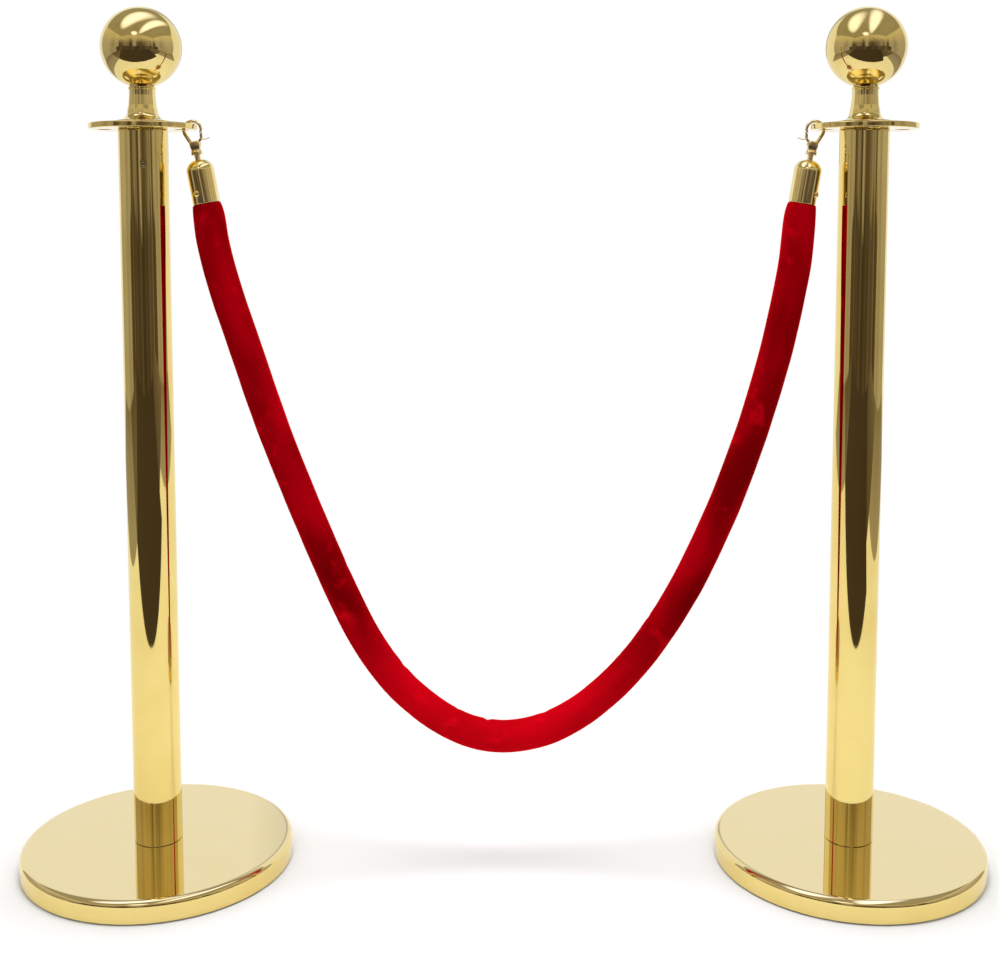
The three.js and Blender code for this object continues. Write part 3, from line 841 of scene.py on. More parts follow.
def dressed(piece: Piece, dress: Dress, node: str, body: str) -> Piece:
    """Gives a new piece its finish and its body, and hides the frame's node that it stands for.

    Args:
        piece: The new piece.
        dress: Its finish.
        node: The frame's node that it replaces.
        body: The body that it moves with.

    Returns:
        The piece.
    """
    piece.data.materials.clear()
    piece.data.materials.append(dress.material())
    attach(piece, body)
    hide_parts(node)
    dress.slot
    LOG.info("%s: %d faces, %s, on %s", piece.name, len(piece.data.polygons), dress.slot, body)
    return piece


def redressed(node: str, dress: Dress) -> Piece:
    """Gives a node of the frame, whose shape stays, its finish.

    Args:
        node: The node's name.
        dress: Its finish.

    Returns:
        The node.
    """
    piece = frame["nodes"][node]
    piece.data.materials.clear()
    piece.data.materials.append(dress.material())
    LOG.info("%s keeps its shape, %s", node, dress.slot)
    return piece


# ---------------------------------------------------------------- the stanchion
def box_of(node: str) -> tuple[Array, Array]:
    """A node's lowest and highest corners."""
    low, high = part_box(node)
    return np.array(low), np.array(high)


def joint_of(name: str) -> tuple[Array, Array]:
    """A joint's point and its axis."""
    rows = {row["name"]: row for row in frame["record"]["behaviour"]["joints"]}
    return np.array(rows[name]["pos_m"], dtype=float), unit(np.array(rows[name]["axis"], dtype=float))


@dataclass
class Stanchion:
    """One free-standing post: base, tube, rope plate and finial."""

    side: str
    edge_radius: float = 7 * MM
    cover_wall: float = 1.5 * MM
    bolt_hole: float = 6.5 * MM
    tube_wall: float = 1.5 * MM
    tube_edge: float = 0.5 * MM
    screw_hole: float = 3.1 * MM
    screw_radius: float = 2.6 * MM
    screw_length: float = 11 * MM
    screw_edge: float = 0.35 * MM
    screw_sink: float = 0.35 * MM
    tube_rows: tuple[float, ...] = (20 * MM, 250 * MM, 500 * MM)
    hole_rows: float = 6 * MM
    socket_across: float = 2.6 * MM
    socket_depth: float = 3 * MM
    stud_hole: float = 5.5 * MM
    plate_edge: float = 1.1 * MM
    hole_edge: float = 0.7 * MM
    hole_radius: float = 8 * MM
    hole_web: float = 7 * MM
    flange_edge: float = 2.8 * MM
    foot_radius: float = 15.6 * MM
    waist_radius: float = 13.4 * MM
    sweep_height: float = 9 * MM
    ball_radius: float = 41.5 * MM
    ball_wall: float = 2 * MM
    seat_radius: float = 12 * MM
    round_count: int = 160
    placing: Placing = field(init=False)

    def __post_init__(self) -> None:
        """Finds the post's axis from the frame."""
        low, high = box_of(self.node("post_tube"))
        centre = (low + high) / 2
        self.placing = Placing(np.array([centre[0], centre[1], 0.0]), np.eye(3))

    def node(self, part: str) -> str:
        """The frame's name of one of this stanchion's parts."""
        return f"{self.side}_{part}"

    def radius_of(self, part: str) -> float:
        """Half of how deep a round part is."""
        low, high = box_of(self.node(part))
        return float(high[1] - low[1]) / 2

    def heights(self, part: str) -> tuple[float, float]:
        """A part's lowest and highest z."""
        low, high = box_of(self.node(part))
        return float(low[2]), float(high[2])

    def cover(self) -> Piece:
        """The base's cover: a spun pan with a rolled edge, open underneath, the wall turned in at its rim.

        Returns:
            The cover.
        """
        low, high = self.heights("base_cover")
        outer, wall, edge = self.radius_of("base_cover"), self.cover_wall, self.edge_radius
        flat = outer - edge
        lip = arc((outer - wall / 2, low + wall / 2), (wall / 2, wall / 2), -180, 0, 8)
        roll = arc((flat, high - edge), (edge, edge), 0, 90, 24)
        under = arc((flat, high - edge), (edge - wall, edge - wall), 90, 0, 12)
        rings = np.linspace(flat, self.bolt_hole, 9)[1:]
        top = np.stack([rings, np.full(rings.shape, high)], axis=1)
        back = np.stack([rings[::-1], np.full(rings.shape, high - wall)], axis=1)
        profile = np.concatenate([lip, roll, top, back, under])
        shell = Shell().add(spun(profile, self.round_count * 2), ring=True)
        piece = even_shade(shell.piece(self.node("spun_cover"), self.placing))
        return dressed(piece, Dress.BASE, self.node("base_cover"), "root")

    def radial(self, part: str, grid: Array) -> Array:
        """A grid made about Z, laid along the way that a small part on the post faces.

        Args:
            part: The small part.
            grid: The points, (rows, count, 3).

        Returns:
            The turned and moved points.
        """
        low, high = box_of(self.node(part))
        middle = (low + high) / 2 - self.placing.origin
        out = np.array([middle[0], middle[1], 0.0])
        return laid_along(grid, out, (0.0, 0.0, 1.0), (0.0, 0.0, middle[2]))

    def tube(self) -> Piece:
        """The post: a drawn tube with softened ends and a countersunk hole for its set screw.

        The profile has close rows near the hole, so that the cut stays local.

        Returns:
            The tube.
        """
        low, high = self.heights("post_tube")
        outer, edge = self.radius_of("post_tube"), self.tube_edge
        inner = outer - self.tube_wall
        hole = sum(self.heights("set_screw")) / 2
        rows = [*(low + row for row in self.tube_rows), hole - self.hole_rows, hole + self.hole_rows]
        profile = np.concatenate([
            [(inner, hole)],
            arc((inner + edge, low + edge), (edge, edge), 180, 270, 3),
            arc((outer - edge, low + edge), (edge, edge), -90, 0, 4),
            [(outer, z) for z in rows],
            arc((outer - edge, high - edge), (edge, edge), 0, 90, 4),
            arc((inner + edge, high - edge), (edge, edge), 90, 180, 3),
        ])
        shell = Shell().add(spun(profile, self.round_count), ring=True)
        piece = shell.piece(self.node("drawn_tube"), self.placing)
        wide, sink = self.screw_hole, self.screw_sink
        face, past = outer - sink, outer + 2 * sink
        bore = np.array([(0, 0), (wide, 0), (wide, face), (wide + 3 * sink, past), (0, past)])
        tool = Shell().add(self.radial("set_screw", spun(bore, 40))).piece("bore", self.placing)
        piece = even_shade(cut(piece, [tool]))
        return dressed(piece, Dress.POST, self.node("post_tube"), "root")

    def set_screw(self) -> Piece:
        """The set screw: a rounded plug with a hexagon socket.

        The socket's wall is at half the size across flats, divided by the cosine of the angle from the
        nearest flat's middle.

        Returns:
            The screw.
        """
        low, high = box_of(self.node("set_screw"))
        middle = (low + high) / 2 - self.placing.origin
        length = self.screw_length
        reach = float(np.hypot(middle[0], middle[1]))
        start, end, edge = reach - length / 2, reach + length / 2, self.screw_edge
        r = self.screw_radius
        body = np.concatenate([
            [(0, start + edge), (r - edge, start + edge)],
            arc((r - edge, start + edge), (edge, edge), -90, 0, 3),
            arc((r - edge, end - edge), (edge, edge), 0, 90, 4),
        ])
        count = 48
        a = np.arange(count) * 2 * np.pi / count
        flat = np.cos((a + np.pi / 6) % (np.pi / 3) - np.pi / 6)
        wall = (self.socket_across / 2 / flat)[None, :]
        depth = np.array([end, end - 0.1 * MM, end - self.socket_depth])[:, None]
        swell = np.array([1.06, 1.0, 1.0])[:, None]
        hexagon = np.stack([swell * wall * np.cos(a), swell * wall * np.sin(a), depth + 0 * a], axis=2)
        floor = np.zeros((1, count, 3)) + [0, 0, end - self.socket_depth - 0.6 * MM]
        grid = np.concatenate([spun(body, count), hexagon, floor])
        piece = Shell().add(self.radial("set_screw", grid)).piece(self.node("socket_screw"), self.placing)
        return dressed(piece, Dress.SCREW, self.node("set_screw"), "root")

    def plate(self) -> Piece:
        """The rope plate: a disc with a rounded rim and four rope holes whose edges are broken.

        Each hole is cut by a spool that flares by the edge's radius at both faces.

        Returns:
            The plate.
        """
        low, high = self.heights("rope_plate")
        outer, edge = self.radius_of("rope_plate"), self.plate_edge
        inner_rings = np.linspace(outer - edge, self.stud_hole, 6)[1:-1]
        profile = np.concatenate([
            [(self.stud_hole, low)],
            np.stack([inner_rings[::-1], np.full(inner_rings.shape, low)], axis=1),
            arc((outer - edge, low + edge), (edge, edge), -90, 0, 6),
            arc((outer - edge, high - edge), (edge, edge), 0, 90, 6),
            np.stack([inner_rings, np.full(inner_rings.shape, high)], axis=1),
            [(self.stud_hole, high)],
        ])
        shell = Shell().add(spun(profile, self.round_count), ring=True)
        plate = shell.piece(self.node("drilled_plate"), self.placing)
        r, e, past = self.hole_radius, self.hole_edge, 1 * MM
        waist = np.concatenate([
            [(0, low - past), (r + e, low - past)],
            arc((r + e, low + e), (e, e), 270, 180, 5),
            arc((r + e, high - e), (e, e), 180, 90, 5),
            [(r + e, high + past), (0, high + past)],
        ])
        circle = outer - self.hole_web - self.hole_radius
        ways = [(circle, 0, 0), (0, circle, 0), (-circle, 0, 0), (0, -circle, 0)]
        spools = [Shell().add(spun(waist, 48) + np.array(way)).piece("spool", self.placing) for way in ways]
        piece = even_shade(cut(plate, spools))
        return dressed(piece, Dress.PLATE, self.node("rope_plate"), "root")

    def neck(self) -> Piece:
        """The finial's neck: a flange, a hollow sweep, a tapering waist and a bead under the ball.

        The sweep is a quarter ellipse from the flange's rim to the foot, and the waist a softened outline.

        Returns:
            The neck.
        """
        low, high = self.heights("finial_neck")
        rim = self.radius_of("finial_neck")
        sweep, foot = low + self.flange_edge, low + self.flange_edge + self.sweep_height
        waist, bead = self.waist_radius, 0.7 * MM
        corners = [(self.stud_hole, low), (rim, low), (rim, sweep), (rim - 2 * MM, sweep)]
        flange = softened(corners, 0.9 * MM, 5)
        hollow = arc((rim - 1.6 * MM, foot), (rim - 1.6 * MM - self.foot_radius, foot - sweep), 270, 180, 16)
        shaft = softened(
            [
                (self.foot_radius, foot),
                (self.foot_radius - 0.5 * MM, foot + 3 * MM),
                (waist + 0.9 * MM, foot + 7 * MM),
                (waist, high - 9 * MM),
                (waist, high - 3.6 * MM),
                (waist + bead, high - 3.2 * MM),
                (waist + bead, high - 1.2 * MM),
                (waist - bead, high),
                (self.stud_hole, high),
            ],
            [3 * MM, 4 * MM, 20 * MM, 0.5 * MM, 0.9 * MM, 0.9 * MM, 0.4 * MM],
            5,
        )
        profile = np.concatenate([flange[:-1], hollow, shaft[1:]])
        shell = Shell().add(spun(profile, self.round_count), ring=True)
        piece = even_shade(shell.piece(self.node("turned_neck"), self.placing))
        return dressed(piece, Dress.FINIAL, self.node("finial_neck"), "root")

    def ball(self) -> Piece:
        """The hollow ball: an outer and an inner sphere that meet round the seat over the neck.

        Returns:
            The ball.
        """
        high = self.heights("finial_ball")[1]
        r, centre = self.ball_radius, high - self.ball_radius
        inner = r - self.ball_wall
        outer_seat = -math.degrees(math.acos(self.seat_radius / r))
        inner_seat = -math.degrees(math.acos(self.seat_radius / inner))
        inside = arc((0, centre), (inner, inner), 90, inner_seat, 24)
        outside = arc((0, centre), (r, r), outer_seat, 90, 88)
        grid = spun(np.concatenate([inside, outside]), self.round_count)
        piece = even_shade(Shell().add(grid).piece(self.node("spun_ball"), self.placing))
        return dressed(piece, Dress.FINIAL, self.node("finial_ball"), "root")

    def build(self) -> list[Piece]:
        """Builds and dresses the whole stanchion.

        Returns:
            Its new pieces.
        """
        hidden = {
            "floor_pad": Dress.RUBBER,
            "base_weight": Dress.IRON,
            "base_washer": Dress.ZINC,
            "base_bolt": Dress.ZINC,
            "lower_plug": Dress.PLUG,
            "upper_plug": Dress.PLUG,
            "finial_stud": Dress.ZINC,
            "ball_insert": Dress.PLUG,
        }
        for part, dress in hidden.items():
            redressed(self.node(part), dress)
        return [self.cover(), self.tube(), self.set_screw(), self.plate(), self.neck(), self.ball()]


# ---------------------------------------------------------------- the rope's fitting
@dataclass
class RopeFitting:
    """One end of the rope: the snap hook with its sprung gate, the swivel stem and the end cap.

    Its own axes start at the middle of the hook's eye, hang down -Z, and point +X to the other post.
    """

    side: str
    wire: float = 1.6 * MM
    loop: float = 9 * MM
    root_angle: float = 195.0
    nose_angle: float = -27.0
    body_wide: float = 11 * MM
    body_deep: float = 9 * MM
    body_top: float = -12 * MM
    body_bottom: float = -26.5 * MM
    collar_radius: float = 6 * MM
    collar_height: float = 3.4 * MM
    gate_wide: float = 2.9 * MM
    gate_thick: float = 2.4 * MM
    gate_eye: float = 2.3 * MM
    knee: tuple[float, float] = (7.2 * MM, -10.6 * MM)
    lever_tip: tuple[float, float] = (16.6 * MM, -11.6 * MM)
    lever_thick: float = 1.3 * MM
    lever_wide: float = 5 * MM
    pin_radius: float = 0.9 * MM
    pin_head: float = 1.7 * MM
    spring_wire: float = 0.28 * MM
    spring_radius: float = 1.6 * MM
    spring_leg: float = 2.6 * MM
    spring_wide: float = 1.6 * MM
    stem_radius: float = 3 * MM
    stem_grip: float = 6 * MM
    stem_shows: float = 4.5 * MM
    stem_head: float = 6.5 * MM
    stem_head_height: float = 2.4 * MM
    cap_radius: float = 14.2 * MM
    cap_wall: float = 1.6 * MM
    cap_length: float = 46.5 * MM
    cap_dome: float = 12 * MM
    cap_hole: float = 4.2 * MM
    cap_screw_up: float = 11 * MM
    cap_screw_radius: float = 1.5 * MM
    cap_screw_head: float = 3.2 * MM
    cap_screw_dome: float = 1.9 * MM
    cap_screw_length: float = 8 * MM
    cap_slot_turn: float = 32.0
    gap: float = 0.3 * MM
    far: float = 6 * MM
    placing: Placing = field(init=False)

    def __post_init__(self) -> None:
        """Finds the fitting's axes from its swivel and its gate's pivot from its hinge."""
        eye, up = joint_of(f"{self.side}_swivel")
        toward = np.array([-np.sign(eye[0]), 0.0, 0.0])
        x = unit(toward - up * np.dot(toward, up))
        self.placing = Placing(eye, np.stack([x, np.cross(up, x), up]))
        pivot = self.placing.inside(joint_of(f"{self.side}_gate_hinge")[0])
        self.pivot = (float(pivot[0]), float(pivot[2]))
        a = math.radians(self.nose_angle)
        self.nose = (self.loop * math.cos(a), self.loop * math.sin(a))
        self.cap_top = self.body_bottom - self.stem_shows
        self.cap_mouth = self.cap_top - self.cap_length
        self.shoulder = self.cap_top - self.cap_dome

    def node(self, part: str) -> str:
        """The frame's name of one of this fitting's parts."""
        return f"{self.side}_{part}"

    def along_pin(self, grid: Array) -> Array:
        """A grid made about Z, laid along the gate's pin with its +Z end at the front of the hook."""
        front = -self.placing.axes[1][1]
        return laid_along(grid, (0.0, -front, 0.0), (1.0, 0.0, 0.0), (self.pivot[0], 0.0, self.pivot[1]))

    def wedge(self, start: float, below: float) -> Piece:
        """The space on one side of the slanted face where the hook's nose and the gate meet.

        Args:
            start: How far from the face the space starts: nothing for the gate's side, and minus twice the
                space's reach for the nose's side.
            below: How far below the nose the face lies.

        Returns:
            The space, as a closed mesh.
        """
        far = self.far
        face = np.array([(-far, start), (far, start), (far, start + 2 * far), (-far, start + 2 * far)])
        path = np.array([(0, -far, 0), (0, far, 0)])
        block = stopped(carried(face, path, (1.0, 0.0, -1.0)))
        at = np.array([self.nose[0], 0, self.nose[1] - below])
        return Shell().add(block + at).piece("wedge", self.placing)

    def hook_body(self) -> Array:
        """The hook's body: a rounded block with a slight waist, its corners run in at both ends.

        At a distance d from an end that is less than the corner radius r, the block is smaller all round by
        r - sqrt(r^2 - (r - d)^2). The waist takes off a cosine bell half way down.

        Returns:
            The grid, closed at both ends.
        """
        r = 1.6 * MM
        ends = r * (1 - np.cos(np.linspace(0, np.pi / 2, 7)))
        long = self.body_top - self.body_bottom
        down = np.concatenate([ends, np.linspace(r, long - r, 15)[1:-1], long - ends[::-1]])
        d = np.minimum(down, long - down)
        inset = r - np.sqrt(np.maximum(r**2 - np.maximum(r - d, 0) ** 2, 0))
        bell = 0.5 + 0.5 * np.cos(np.clip((down - 0.62 * long) / (0.3 * long), -1, 1) * np.pi)
        wide = self.body_wide - 2 * inset - 1.5 * MM * bell
        deep = self.body_deep - 2 * inset - 0.9 * MM * bell
        outline = rounded_section(1.0, 1.0, 5.0, 48)
        x = outline[None, :, 0] * wide[:, None]
        y = outline[None, :, 1] * deep[:, None]
        z = (self.body_top - down)[:, None] + 0 * x
        return stopped(np.stack([x, y, z], axis=2))

    def hook(self) -> Piece:
        """The hook: an arm bent into an eye, a waisted body, a boss on its front and a collar, cast as one.

        The arm's line is an arc round the eye and a smooth run to its root, where its wire thickens by the
        bell exp(-(t / 0.1) squared).

        Returns:
            The hook.
        """
        a = np.radians(np.linspace(self.root_angle, self.nose_angle - 17, 15))
        eye = np.stack([self.loop * np.cos(a), 0 * a, self.loop * np.sin(a)], axis=1)
        root = np.array([[-self.body_wide / 2 + self.wire + 0.3 * MM, 0, self.body_top - 2.4 * MM]])
        line = smooth_curve(np.concatenate([root, eye]), 8)
        t = np.linspace(0, 1, len(line))
        swell = 1 + 0.3 * np.exp(-((t / 0.1) ** 2))
        wire = rounded_section(2 * self.wire, 2 * self.wire, 2.0, 20)
        arm = stopped(carried(wire, line, (0, 1, 0), swell))
        low = self.body_bottom
        collar = softened(
            [
                (0, low),
                (self.collar_radius, low),
                (self.collar_radius, low + self.collar_height),
                (self.collar_radius - 1.4 * MM, low + self.collar_height + 1.2 * MM),
                (0, low + self.collar_height + 1.2 * MM),
            ],
            [0.8 * MM, 0.9 * MM, 0.5 * MM],
        )
        boss = softened([(0, -4 * MM), (1.9 * MM, -4 * MM), (1.9 * MM, 4.3 * MM), (0, 4.3 * MM)], 0.4 * MM)
        shell = Shell().add(arm).add(self.hook_body()).add(spun(collar, 48))
        shell.add(self.along_pin(spun(boss, 32)))
        piece = cast(shell.piece(self.node("cast_hook"), self.placing), 0.27 * MM, 6)
        wide = self.pin_radius / MM + 0.3
        pin = np.array([(0, -9), (wide, -9), (wide, 9), (0, 9)]) * MM
        hole, floor = self.stem_radius + self.gap, low + self.stem_grip + self.gap
        socket = np.array([(0, low - MM), (hole, low - MM), (hole, floor), (0, floor)])
        tools = [
            self.wedge(0.0, 0.0),
            Shell().add(self.along_pin(spun(pin, 24))).piece("pin_hole", self.placing),
            Shell().add(spun(socket, 40)).piece("stem_hole", self.placing),
            self.slot(),
        ]
        return dressed(cut(piece, tools), Dress.HOOK, self.node("hook"), self.node("hook"))

    def slot(self) -> Piece:
        """The milled space in the hook's body for the gate's eye and the spring beside it.

        Returns:
            The space, as a closed mesh.
        """
        room = self.gate_eye + self.gap
        low, left = self.pivot[1] - room, self.pivot[0] - room
        near, far = -self.gate_thick / 2 - self.gap, self.gate_thick / 2 + self.spring_wide + 2 * self.gap
        right = left + self.body_wide
        corners = np.array([(left, near), (right, near), (right, far), (left, far)])
        levels = np.array([low, self.body_top + 8 * MM])
        grid = np.stack([
            np.broadcast_to(corners[:, 0], (2, 4)),
            np.broadcast_to(corners[:, 1], (2, 4)),
            np.broadcast_to(levels[:, None], (2, 4)),
        ], axis=2)
        return Shell().add(stopped(grid)).piece("slot", self.placing)

    def gate(self) -> Piece:
        """The gate: an eye on the pin, a bent arm up to the hook's nose and a thin curved thumb lever.

        Returns:
            The gate.
        """
        foot = np.array([self.pivot[0], 0, self.pivot[1]])
        knee = np.array([self.knee[0], 0, self.knee[1]])
        beyond = np.array([self.nose[0] + 0.3 * MM, 0, self.nose[1] + 1.5 * MM])
        line = smooth_curve(np.stack([foot, knee, (knee + beyond) / 2 + [0.15 * MM, 0, 0], beyond]), 8)
        bar = rounded_section(self.gate_wide, self.gate_thick, 4.0, 28)
        arm = stopped(carried(bar, line, (0, 1, 0)))
        tip = np.array([self.lever_tip[0], 0, self.lever_tip[1] + self.lever_thick / 2])
        sag = np.array([(knee[0] + tip[0]) / 2, 0, knee[2] - 1.25 * MM])
        bend = smooth_curve(np.stack([knee + [0, 0, -0.1 * MM], sag, tip]), 10)
        t = np.linspace(0, 1, len(bend))
        taper = (1 - 0.22 * t)[:, None, None]
        blade = rounded_section(self.lever_thick, self.lever_wide, 4.0, 28)
        lever = stopped(carried(blade, bend, (0, 1, 0), taper))
        half = self.gate_thick / 2
        eye = softened([(0, -half), (self.gate_eye, -half), (self.gate_eye, half), (0, half)], 0.3 * MM)
        shell = Shell().add(arm).add(lever).add(self.along_pin(spun(eye, 40)))
        piece = cast(shell.piece(self.node("thumb_gate"), self.placing), 0.2 * MM, 4)
        hole = self.pin_radius + self.gap
        bore = np.array([(0, -5 * MM), (hole, -5 * MM), (hole, 5 * MM), (0, 5 * MM)])
        beyond_nose = self.wedge(-2 * self.far, 2 * self.gap)
        tools = [Shell().add(self.along_pin(spun(bore, 24))).piece("bore", self.placing), beyond_nose]
        return dressed(cut(piece, tools), Dress.HOOK, self.node("gate"), self.node("gate"))

    def gate_pin(self) -> Piece:
        """The gate's pin: a straight rivet with a domed head and a low peened end.

        Returns:
            The pin.
        """
        half = self.body_deep / 2 + self.gap
        r = self.pin_radius
        dome = arc((0, half), (self.pin_head, 0.9 * MM), 0, 90, 8)
        rim = arc((self.pin_head - 0.12 * MM, half + 0.12 * MM), (0.12 * MM, 0.12 * MM), -90, 0, 2)
        foot = arc((0, -half), (r * 1.25, 0.35 * MM), -90, 0, 5)
        profile = np.concatenate([foot, [(r, -half + 0.3 * MM), (r, half)], rim, dome[1:]])
        piece = Shell().add(self.along_pin(spun(profile, 40))).piece(self.node("riveted_pin"), self.placing)
        return dressed(piece, Dress.HOOK, self.node("gate_pin"), self.node("hook"))

    def gate_spring(self) -> Piece:
        """The gate's spring: (r cos a, y, r sin a), y falling evenly over a turn and a half, and two legs.

        Returns:
            The spring.
        """
        near = self.gate_thick / 2 + self.gap + self.spring_wire
        far = near + self.spring_wide - 2 * self.spring_wire
        a = math.pi + np.linspace(0, 3 * math.pi, 25)
        r = self.spring_radius
        coil = np.stack([r * np.cos(a), far + (near - far) * np.linspace(0, 1, 25), r * np.sin(a)], axis=1)
        ends = np.array([[-r, far, self.spring_leg], [r, near, self.spring_leg]])
        line = smooth_curve(np.concatenate([ends[:1], coil, ends[1:]]), 5)
        line = line + np.array([self.pivot[0], 0, self.pivot[1]])
        wire = rounded_section(2 * self.spring_wire, 2 * self.spring_wire, 2.0, 12)
        shell = Shell().add(stopped(carried(wire, line, (0, 1, 0))))
        piece = shell.piece(self.node("wound_spring"), self.placing)
        return dressed(piece, Dress.SPRING, self.node("gate_spring"), self.node("hook"))

    def swivel_stem(self) -> Piece:
        """The swivel stem: a pin with a softened shoulder under the hook and a flat head inside the cap.

        Returns:
            The stem.
        """
        inside = self.cap_radius - self.cap_wall
        dome = self.cap_dome - self.cap_wall
        top = self.shoulder + dome * math.sqrt(1 - (self.stem_head / inside) ** 2) - 0.5 * MM
        low = top - self.stem_head_height
        r, grip = self.stem_radius, self.body_bottom + self.stem_grip
        shown = self.body_bottom - 0.5 * MM
        shoulder = r + 0.5 * MM
        corners = [
            (0, low),
            (self.stem_head, low),
            (self.stem_head, top),
            (r, top),
            (r, shown - 1 * MM),
            (shoulder, shown - 0.5 * MM),
            (shoulder, shown),
            (r, shown + 0.2 * MM),
            (r, grip),
            (0, grip),
        ]
        radii = np.array([0.4, 0.4, 0.5, 0.3, 0.2, 0.1, 0.1, 0.2]) * MM
        profile = softened(corners, radii)
        piece = even_shade(Shell().add(spun(profile, 48)).piece(self.node("swivel_pin"), self.placing))
        return dressed(piece, Dress.HOOK, self.node("swivel_stem"), self.node("hook"))

    def on_cap(self, grid: Array) -> Array:
        """A grid made about Z, pointing out of the cap on the side that its screw faces.

        Args:
            grid: The points, (rows, count, 3).

        Returns:
            The turned and moved points.
        """
        low, high = box_of(self.node("cap_screw"))
        out = self.placing.inside((low + high) / 2)
        at = (0, 0, self.cap_mouth + self.cap_screw_up)
        return laid_along(grid, (out[0], out[1], 0.0), (0.0, 0.0, 1.0), at)

    def end_cap(self) -> Piece:
        """The end cap: a spun cup with a rolled lip at its mouth, a domed end and a hole for the stem.

        Outside and inside are straight walls that run into quarter ellipses, cut off at the hole.

        Returns:
            The cap.
        """
        r, wall, lip = self.cap_radius, self.cap_wall, 0.7 * MM
        inside, dome = r - wall, self.cap_dome - wall
        at_hole = [math.degrees(math.acos(self.cap_hole / wide)) for wide in (r, inside)]
        mouth = arc((r - wall / 2, self.cap_mouth + lip), (wall / 2, lip), -180, 0, 8)
        rows = np.linspace(self.cap_mouth + lip, self.shoulder, 8)[1:-1]
        outside = np.stack([np.full(rows.shape, r), rows], axis=1)
        inner = np.stack([np.full(rows.shape, inside), rows[::-1]], axis=1)
        profile = np.concatenate([
            mouth,
            outside,
            arc((0, self.shoulder), (r, self.cap_dome), 0, at_hole[0], 24),
            arc((0, self.shoulder), (inside, dome), at_hole[1], 0, 14),
            inner,
        ])
        shell = Shell().add(spun(profile, 128), ring=True)
        piece = shell.piece(self.node("domed_cap"), self.placing)
        hole = self.cap_screw_radius + 0.5 * MM
        bore = np.array([(0, 4 * MM), (hole, 4 * MM), (hole, r + 3 * MM), (0, r + 3 * MM)])
        tool = Shell().add(self.on_cap(spun(bore, 28))).piece("bore", self.placing)
        return dressed(even_shade(cut(piece, [tool])), Dress.CAP, self.node("end_cap"), "rope")

    def cap_screw(self) -> Piece:
        """The cap's screw: a plain shank, a domed head and a straight driving slot.

        Returns:
            The screw.
        """
        seat = self.cap_radius + self.gap
        low, head, dome = seat - self.cap_screw_length, self.cap_screw_head, self.cap_screw_dome
        profile = np.concatenate([
            [(0, low), (self.cap_screw_radius - 0.4 * MM, low), (self.cap_screw_radius, low + 0.6 * MM)],
            [(self.cap_screw_radius, seat)],
            arc((head - 0.25 * MM, seat + 0.25 * MM), (0.25 * MM, 0.25 * MM), -90, 0, 3),
            arc((0, seat + 0.25 * MM), (head, dome - 0.25 * MM), 0, 90, 12)[1:],
        ])
        piece = Shell().add(self.on_cap(spun(profile, 56))).piece(self.node("slotted_screw"), self.placing)
        wide, past, floor = 0.35 * MM, head * 1.2, seat + dome - 0.8 * MM
        corners = np.array([(-wide, -past), (wide, -past), (wide, past), (-wide, past)])
        turn = math.radians(self.cap_slot_turn)
        spin = np.array([[math.cos(turn), math.sin(turn)], [-math.sin(turn), math.cos(turn)]])
        flat = np.broadcast_to(corners @ spin, (2, 4, 2))
        tall = np.broadcast_to(np.array([floor, seat + 2 * dome])[:, None, None], (2, 4, 1))
        block = stopped(np.concatenate([flat, tall], axis=2))
        tool = Shell().add(self.on_cap(block)).piece("slot", self.placing)
        piece = even_shade(cut(piece, [tool]))
        return dressed(piece, Dress.CAP, self.node("cap_screw"), "rope")

    def mouth(self, past: float) -> Array:
        """The point on the cord's line that far below the cap's mouth."""
        return self.placing(np.array([0.0, 0.0, self.cap_mouth - self.gap - past]))

    def build(self) -> list[Piece]:
        """Builds and dresses the fitting.

        Returns:
            Every piece that hangs on the cord here.
        """
        bound = redressed(self.node("rope_end"), Dress.CORD)
        makers = (self.hook, self.gate, self.gate_pin, self.gate_spring, self.swivel_stem, self.end_cap)
        return [bound, self.cap_screw(), *[make() for make in makers]]


# ---------------------------------------------------------------- the rope
@dataclass(frozen=True)
class Crease:
    """A fold where the rope's cover buckles: how far along, on which side, how deep and how long."""

    along: float
    facing: float
    depth: float
    reach: float
    spread: float = 0.9


